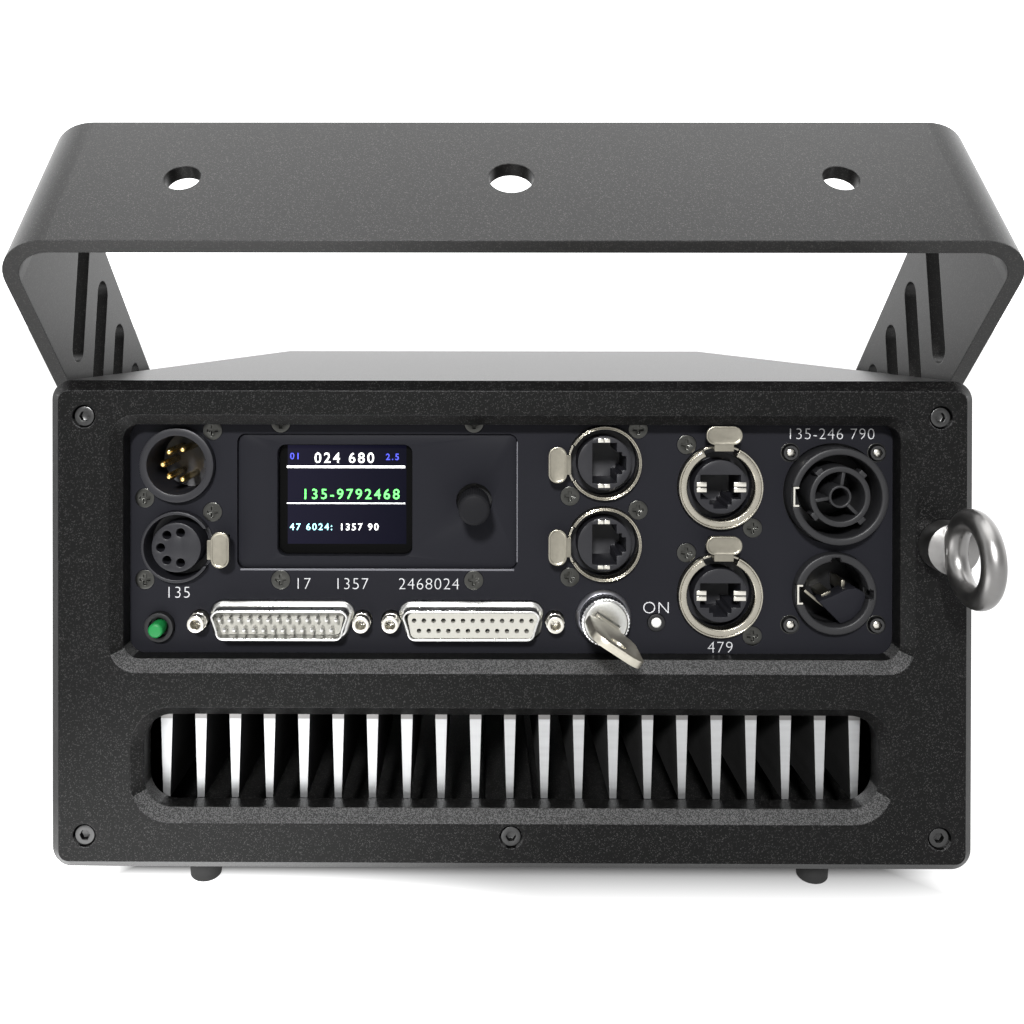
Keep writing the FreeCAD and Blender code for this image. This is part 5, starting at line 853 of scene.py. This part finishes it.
barrel_end = key_seat + Vector((0, KEY_ROOT * MM, 0))
barrel = knurled("key_barrel_chrome", barrel_end, KEY_BARREL, KEY_STAND + KEY_ROOT, 0.4)
barrel = trimmed(barrel, plug("key_barrel_drill", KEY_FACE + 0.15, -KEY_ROOT - 1, KEY_STAND + 1, key_seat))
fitted(broken_edges(barrel, 0.04, 1, 50), CHROME, "housing", "chrome_bezel", "key_switch")
face_height = KEY_STAND - 0.3
rotor_profile = [(0, -6), (4.6, -6), (4.6, 2.6), (KEY_FACE, 2.6), (KEY_FACE, face_height - 0.1),
                 (KEY_FACE - 0.25, face_height), (0, face_height)]
rotor = turned("key_face_brushed", rotor_profile, key_seat, steps=72)
half = KEY_BLADE / 2
keyway = bar("keyway", key_seat, 180 - KEY_TURN, -half - 0.15, half + 0.15, KEY_THICK + 0.9,
             KEY_STAND - 3, KEY_STAND + 1)
fitted(broken_edges(trimmed(rotor, keyway), 0.05), BRUSHED, "key", "nickel", "key_rotor")
turn = math.radians(KEY_TURN - 90)
key_wide, key_thin = Vector((math.sin(turn), 0, math.cos(turn))), Vector((math.cos(turn), 0, -math.sin(turn)))
bow_corners = rounded_corners(KEY_BOW_LONG, KEY_BOW_WIDE, KEY_BOW_ROUND)
bow = [(b, a - KEY_NECK - KEY_BOW_LONG / 2) for a, b in bow_corners]
blade_end = -KEY_NECK - KEY_BOW_ROUND
blade = [(-half, 0), (half, 0), (half, blade_end), (-half, blade_end)]
key_front = key_seat - Vector((0, face_height * MM, 0))
key_inset = key_thin * KEY_THICK / 2
key_parts = []
for name, points in (("key_bow", bow), ("key_blade", blade)):
    corners = [key_front + (key_wide * a + Vector((0, b, 0)) - key_inset) * MM for a, b in points]
    key_parts.append(extruded(name, corners, key_thin * KEY_THICK))
key = joined("key_cut", key_parts)
hole_at = key_front - (key_thin * 2 + Vector((0, KEY_NECK + KEY_BOW_LONG - 5, 0))) * MM
drill = turned("key_drill", [(0, 0), (2.2, 0), (2.2, 4), (0, 4)], hole_at, key_thin, 32)
fitted(broken_edges(trimmed(key, drill), 0.25), KEY_NICKEL, "key", "nickel", "key")


# Status light and restart button: a domed white lens in a thin black holder, and a moulded green cap
# that slides in a black collar. Both are set in the panel.
LENS = painted("white_lens", (0.5, 0.5, 0.48), 0.3)
led_low, led_high = (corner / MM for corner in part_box("status_led"))
led_seat = Vector(((led_low.x + led_high.x) / 2, led_high.y, (led_low.z + led_high.z) / 2)) * MM
led_long = led_high.y - led_low.y
dome = [(1.5 * math.cos(t), led_long - 1.3 + 1.3 * math.sin(t)) for t in (math.pi / 12 * n for n in range(7))]
lens = turned("status_lens", [(0, 0), (1.5, 0)] + dome, led_seat, steps=32)
fitted(broken_edges(lens, 0.03, 1, 50), LENS, "housing", "led_white", "status_led")
eased("led_bezel", 0.12, BLACK_PLASTIC)
GREEN_CAP = moulded("green_cap", (0.006, 0.125, 0.03), 0.35)
cap_low, cap_high = (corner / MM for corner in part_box("restart_button"))
cap_seat = Vector(((cap_low.x + cap_high.x) / 2, cap_high.y, (cap_low.z + cap_high.z) / 2)) * MM
cap_radius, cap_long = (cap_high.x - cap_low.x) / 2, cap_high.y - cap_low.y
cap_profile = [(0, 0), (cap_radius, 0), (cap_radius, cap_long - 0.5), (cap_radius - 0.5, cap_long - 0.05),
               (0, cap_long)]
cap = turned("restart_cap", cap_profile, cap_seat, steps=48)
fitted(broken_edges(cap, 0.15), GREEN_CAP, "restart_button", "green_cap", "restart_button")
eased("restart_bezel", 0.2, BLACK_PLASTIC)


# Yoke: a plate of aluminium bent twice, with slots in its arms and holes for clamps, coated like
# the body. Lobed hand knobs clamp it against spacers at the body's sides.
YOKE_COAT = sparkle_coat("yoke_sparkle_coat", grey(0.005, 0.03), grey(0.03, 0.04), 0.08, 0.3, 0.27)
dress(YOKE_COAT, "yoke")
eased("yoke_knob_left", 0.9, BLACK_PLASTIC, 3)
eased("yoke_knob_right", 0.9, BLACK_PLASTIC, 3)
eased("yoke_spacers", 0.4, BLACK_PLASTIC)


# Beam side: a coated glass pane behind the front plate's window, and a black mask that slides on two
# thumb screws to shut off its lower part.
def coated_glass():
    material, place = new_finish("coated_glass", roughness=0.03, transmission_weight=0.85, ior=1.5)
    cloud = place.noise(20)
    return feed(material, base_color=cloud.blend((0.75, 0.86, 0.84, 1), (0.82, 0.9, 0.88, 1)))


dress(coated_glass(), "exit_window")
eased("aperture_mask", 0.2, KNOB_BLACK)
for side in ("left", "right"):
    eased(f"mask_screw_{side}", 0.3, KNOB_BLACK)


# Inside the sleeve: anodised laser housings, mirrors on posts and scanner motors in a milled block on
# the bench, with green circuit boards, the power supply and moulded fans.
def module_coat():
    material, place = new_finish("module_coat", metallic=0.7)
    cloud = place.noise(80, 3)
    return feed(material, base_color=cloud.blend(grey(0.1), grey(0.14)), roughness=0.35 + 0.15 * cloud)


def board_green():
    material, place = new_finish("board_green", roughness=0.4)
    colours = {"Color1": (0.01, 0.09, 0.03, 1), "Color2": (0.012, 0.12, 0.04, 1),
               "Mortar": (0.02, 0.16, 0.06, 1)}
    tracks = place.node("TexBrick", {}, {"Vector": place, "Scale": 160.0, **colours}, "Color")
    return feed(material, base_color=tracks)


MIRROR = smooth_metal("mirror_silver", (0.88, 0.88, 0.9), 0.03, 0.03)
dress(bare_aluminium("milled_aluminium", 0.6, 1000), "laser_bench", "galvo_block")
dress(module_coat(), "laser_modules", "galvo_motors", "power_supply")
dress(MIRROR, "combining_mirrors", "galvo_mirror_x", "galvo_mirror_y")
dress(board_green(), "control_board", "driver_boards")
dress(BLACK_PLASTIC, "fan_frames", "fan_rotor_left", "fan_rotor_right")


# Studio: a pale floor that glows, with a painted shadow where the glow dims under the body and a
# painted pool of light before its left corner, which the frame mirrors; a wide light overhead, a small
# hard one high behind the camera, and a white surround.
bpy.ops.object.select_all(action="DESELECT")
bpy.ops.mesh.primitive_plane_add(size=60, location=(0, 20, 0))
bpy.ops.object.transform_apply(location=True)
floor = bpy.context.active_object
floor.name = "floor"
floor_paint, floor_place = new_finish("floor_paint", roughness=0.7, specular_ior_level=0.2,
                                      emission_strength=0.86)
floor_tone = floor_place.noise(3)
body_low, body_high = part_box("housing_shell")
body_mid, body_half = (body_low + body_high) / 2, (body_high - body_low) / 2
inward = [half - place.maths("ABSOLUTE", place - middle) for place, middle, half in (
    (floor_place.part("X"), body_mid.x, body_half.x), (floor_place.part("Y"), body_mid.y, body_half.y))]
depth = inward[0].maths("MINIMUM", *inward)
# Painted shadow: the floor's glow dims to grey just inside the body's outline. Painted pool of light: a bright
# glowing spot before the left corner.
SHADOW_REACH, PATCH_AT, PATCH_INNER, PATCH_OUTER = 0.0165, (-0.11, rear_y - 0.06, 0), 0.02, 0.14
shaded = depth.node("MapRange", {}, {"Value": depth, "From Min": 0.0, "From Max": SHADOW_REACH})
reach = floor_place.node("VectorMath", {"operation": "DISTANCE"}, {0: floor_place, 1: PATCH_AT}, "Value")
light_pool = reach.node("MapRange", {"interpolation_type": "SMOOTHSTEP"},
                   {"Value": reach, "From Min": PATCH_OUTER, "From Max": PATCH_INNER})
glow = light_pool.blend(floor_tone.blend(grey(0.98), grey(1.0)), grey(6.0))
feed(floor_paint, base_color=floor_tone.blend(grey(0.14), grey(0.16)),
     emission_color=shaded.blend(glow, grey(0.12)))
floor.data.materials.append(floor_paint)


def softbox(name, place, target, size, power):
    data = bpy.data.lights.new(name, "AREA")
    data.shape = "RECTANGLE"
    data.size, data.size_y = size
    data.energy = power
    lamp = bpy.data.objects.new(name, data)
    bpy.context.scene.collection.objects.link(lamp)
    lamp.location = place
    lamp.rotation_euler = (Vector(target) - Vector(place)).to_track_quat("-Z", "Y").to_euler()


softbox("top_light", (0, -0.3, 1.6), (0, 0, 0.1), (1.7, 1.3), 19)
softbox("key_light", (-0.2, -1.63, 0.93), (0, -0.15, 0.12), (0.18, 0.18), 56)

world = bpy.data.worlds.new("studio")
bpy.context.scene.world = world
world.use_nodes = True
backdrop = world.node_tree.nodes["Background"]
backdrop.inputs["Color"].default_value = (1, 1, 1, 1)
direction = Socket(world.node_tree, world.node_tree.nodes.new("ShaderNodeTexCoord").outputs["Generated"])
ahead = direction.part("Y")
surround = ahead.node("MapRange", {}, {"Value": ahead, "From Min": -0.4, "From Max": 0.2, "To Min": 0.5,
                                       "To Max": 2.2})
world.node_tree.links.new(surround.output, backdrop.inputs["Strength"])
bpy.context.scene.view_settings.view_transform = "Standard"


# Camera: where the photograph was taken from, just above the display's height and close to the rear
# frame. Its lens and shift give the photograph's framing, with nothing out of focus.
CAMERA_BACK, CAMERA_X, CAMERA_Z = 280.29 * MM, -9.424 * MM, 165.43 * MM
CAMERA_LENS, CAMERA_SHIFT_X, CAMERA_SHIFT_Y, CAMERA_CLIP = 35.21, 0.0382, -0.1761, 0.01
CAMERA_TURN = (89.681, -0.068, 0.292)
camera_data = bpy.data.cameras.new("photo_camera")
camera_data.lens = CAMERA_LENS
camera_data.shift_x = CAMERA_SHIFT_X
camera_data.shift_y = CAMERA_SHIFT_Y
camera_data.clip_start = CAMERA_CLIP
camera = bpy.data.objects.new("photo_camera", camera_data)
camera.location = (CAMERA_X, rear_y - CAMERA_BACK, CAMERA_Z)
camera.rotation_euler = [math.radians(angle) for angle in CAMERA_TURN]
bpy.context.scene.collection.objects.link(camera)
bpy.context.scene.camera = camera
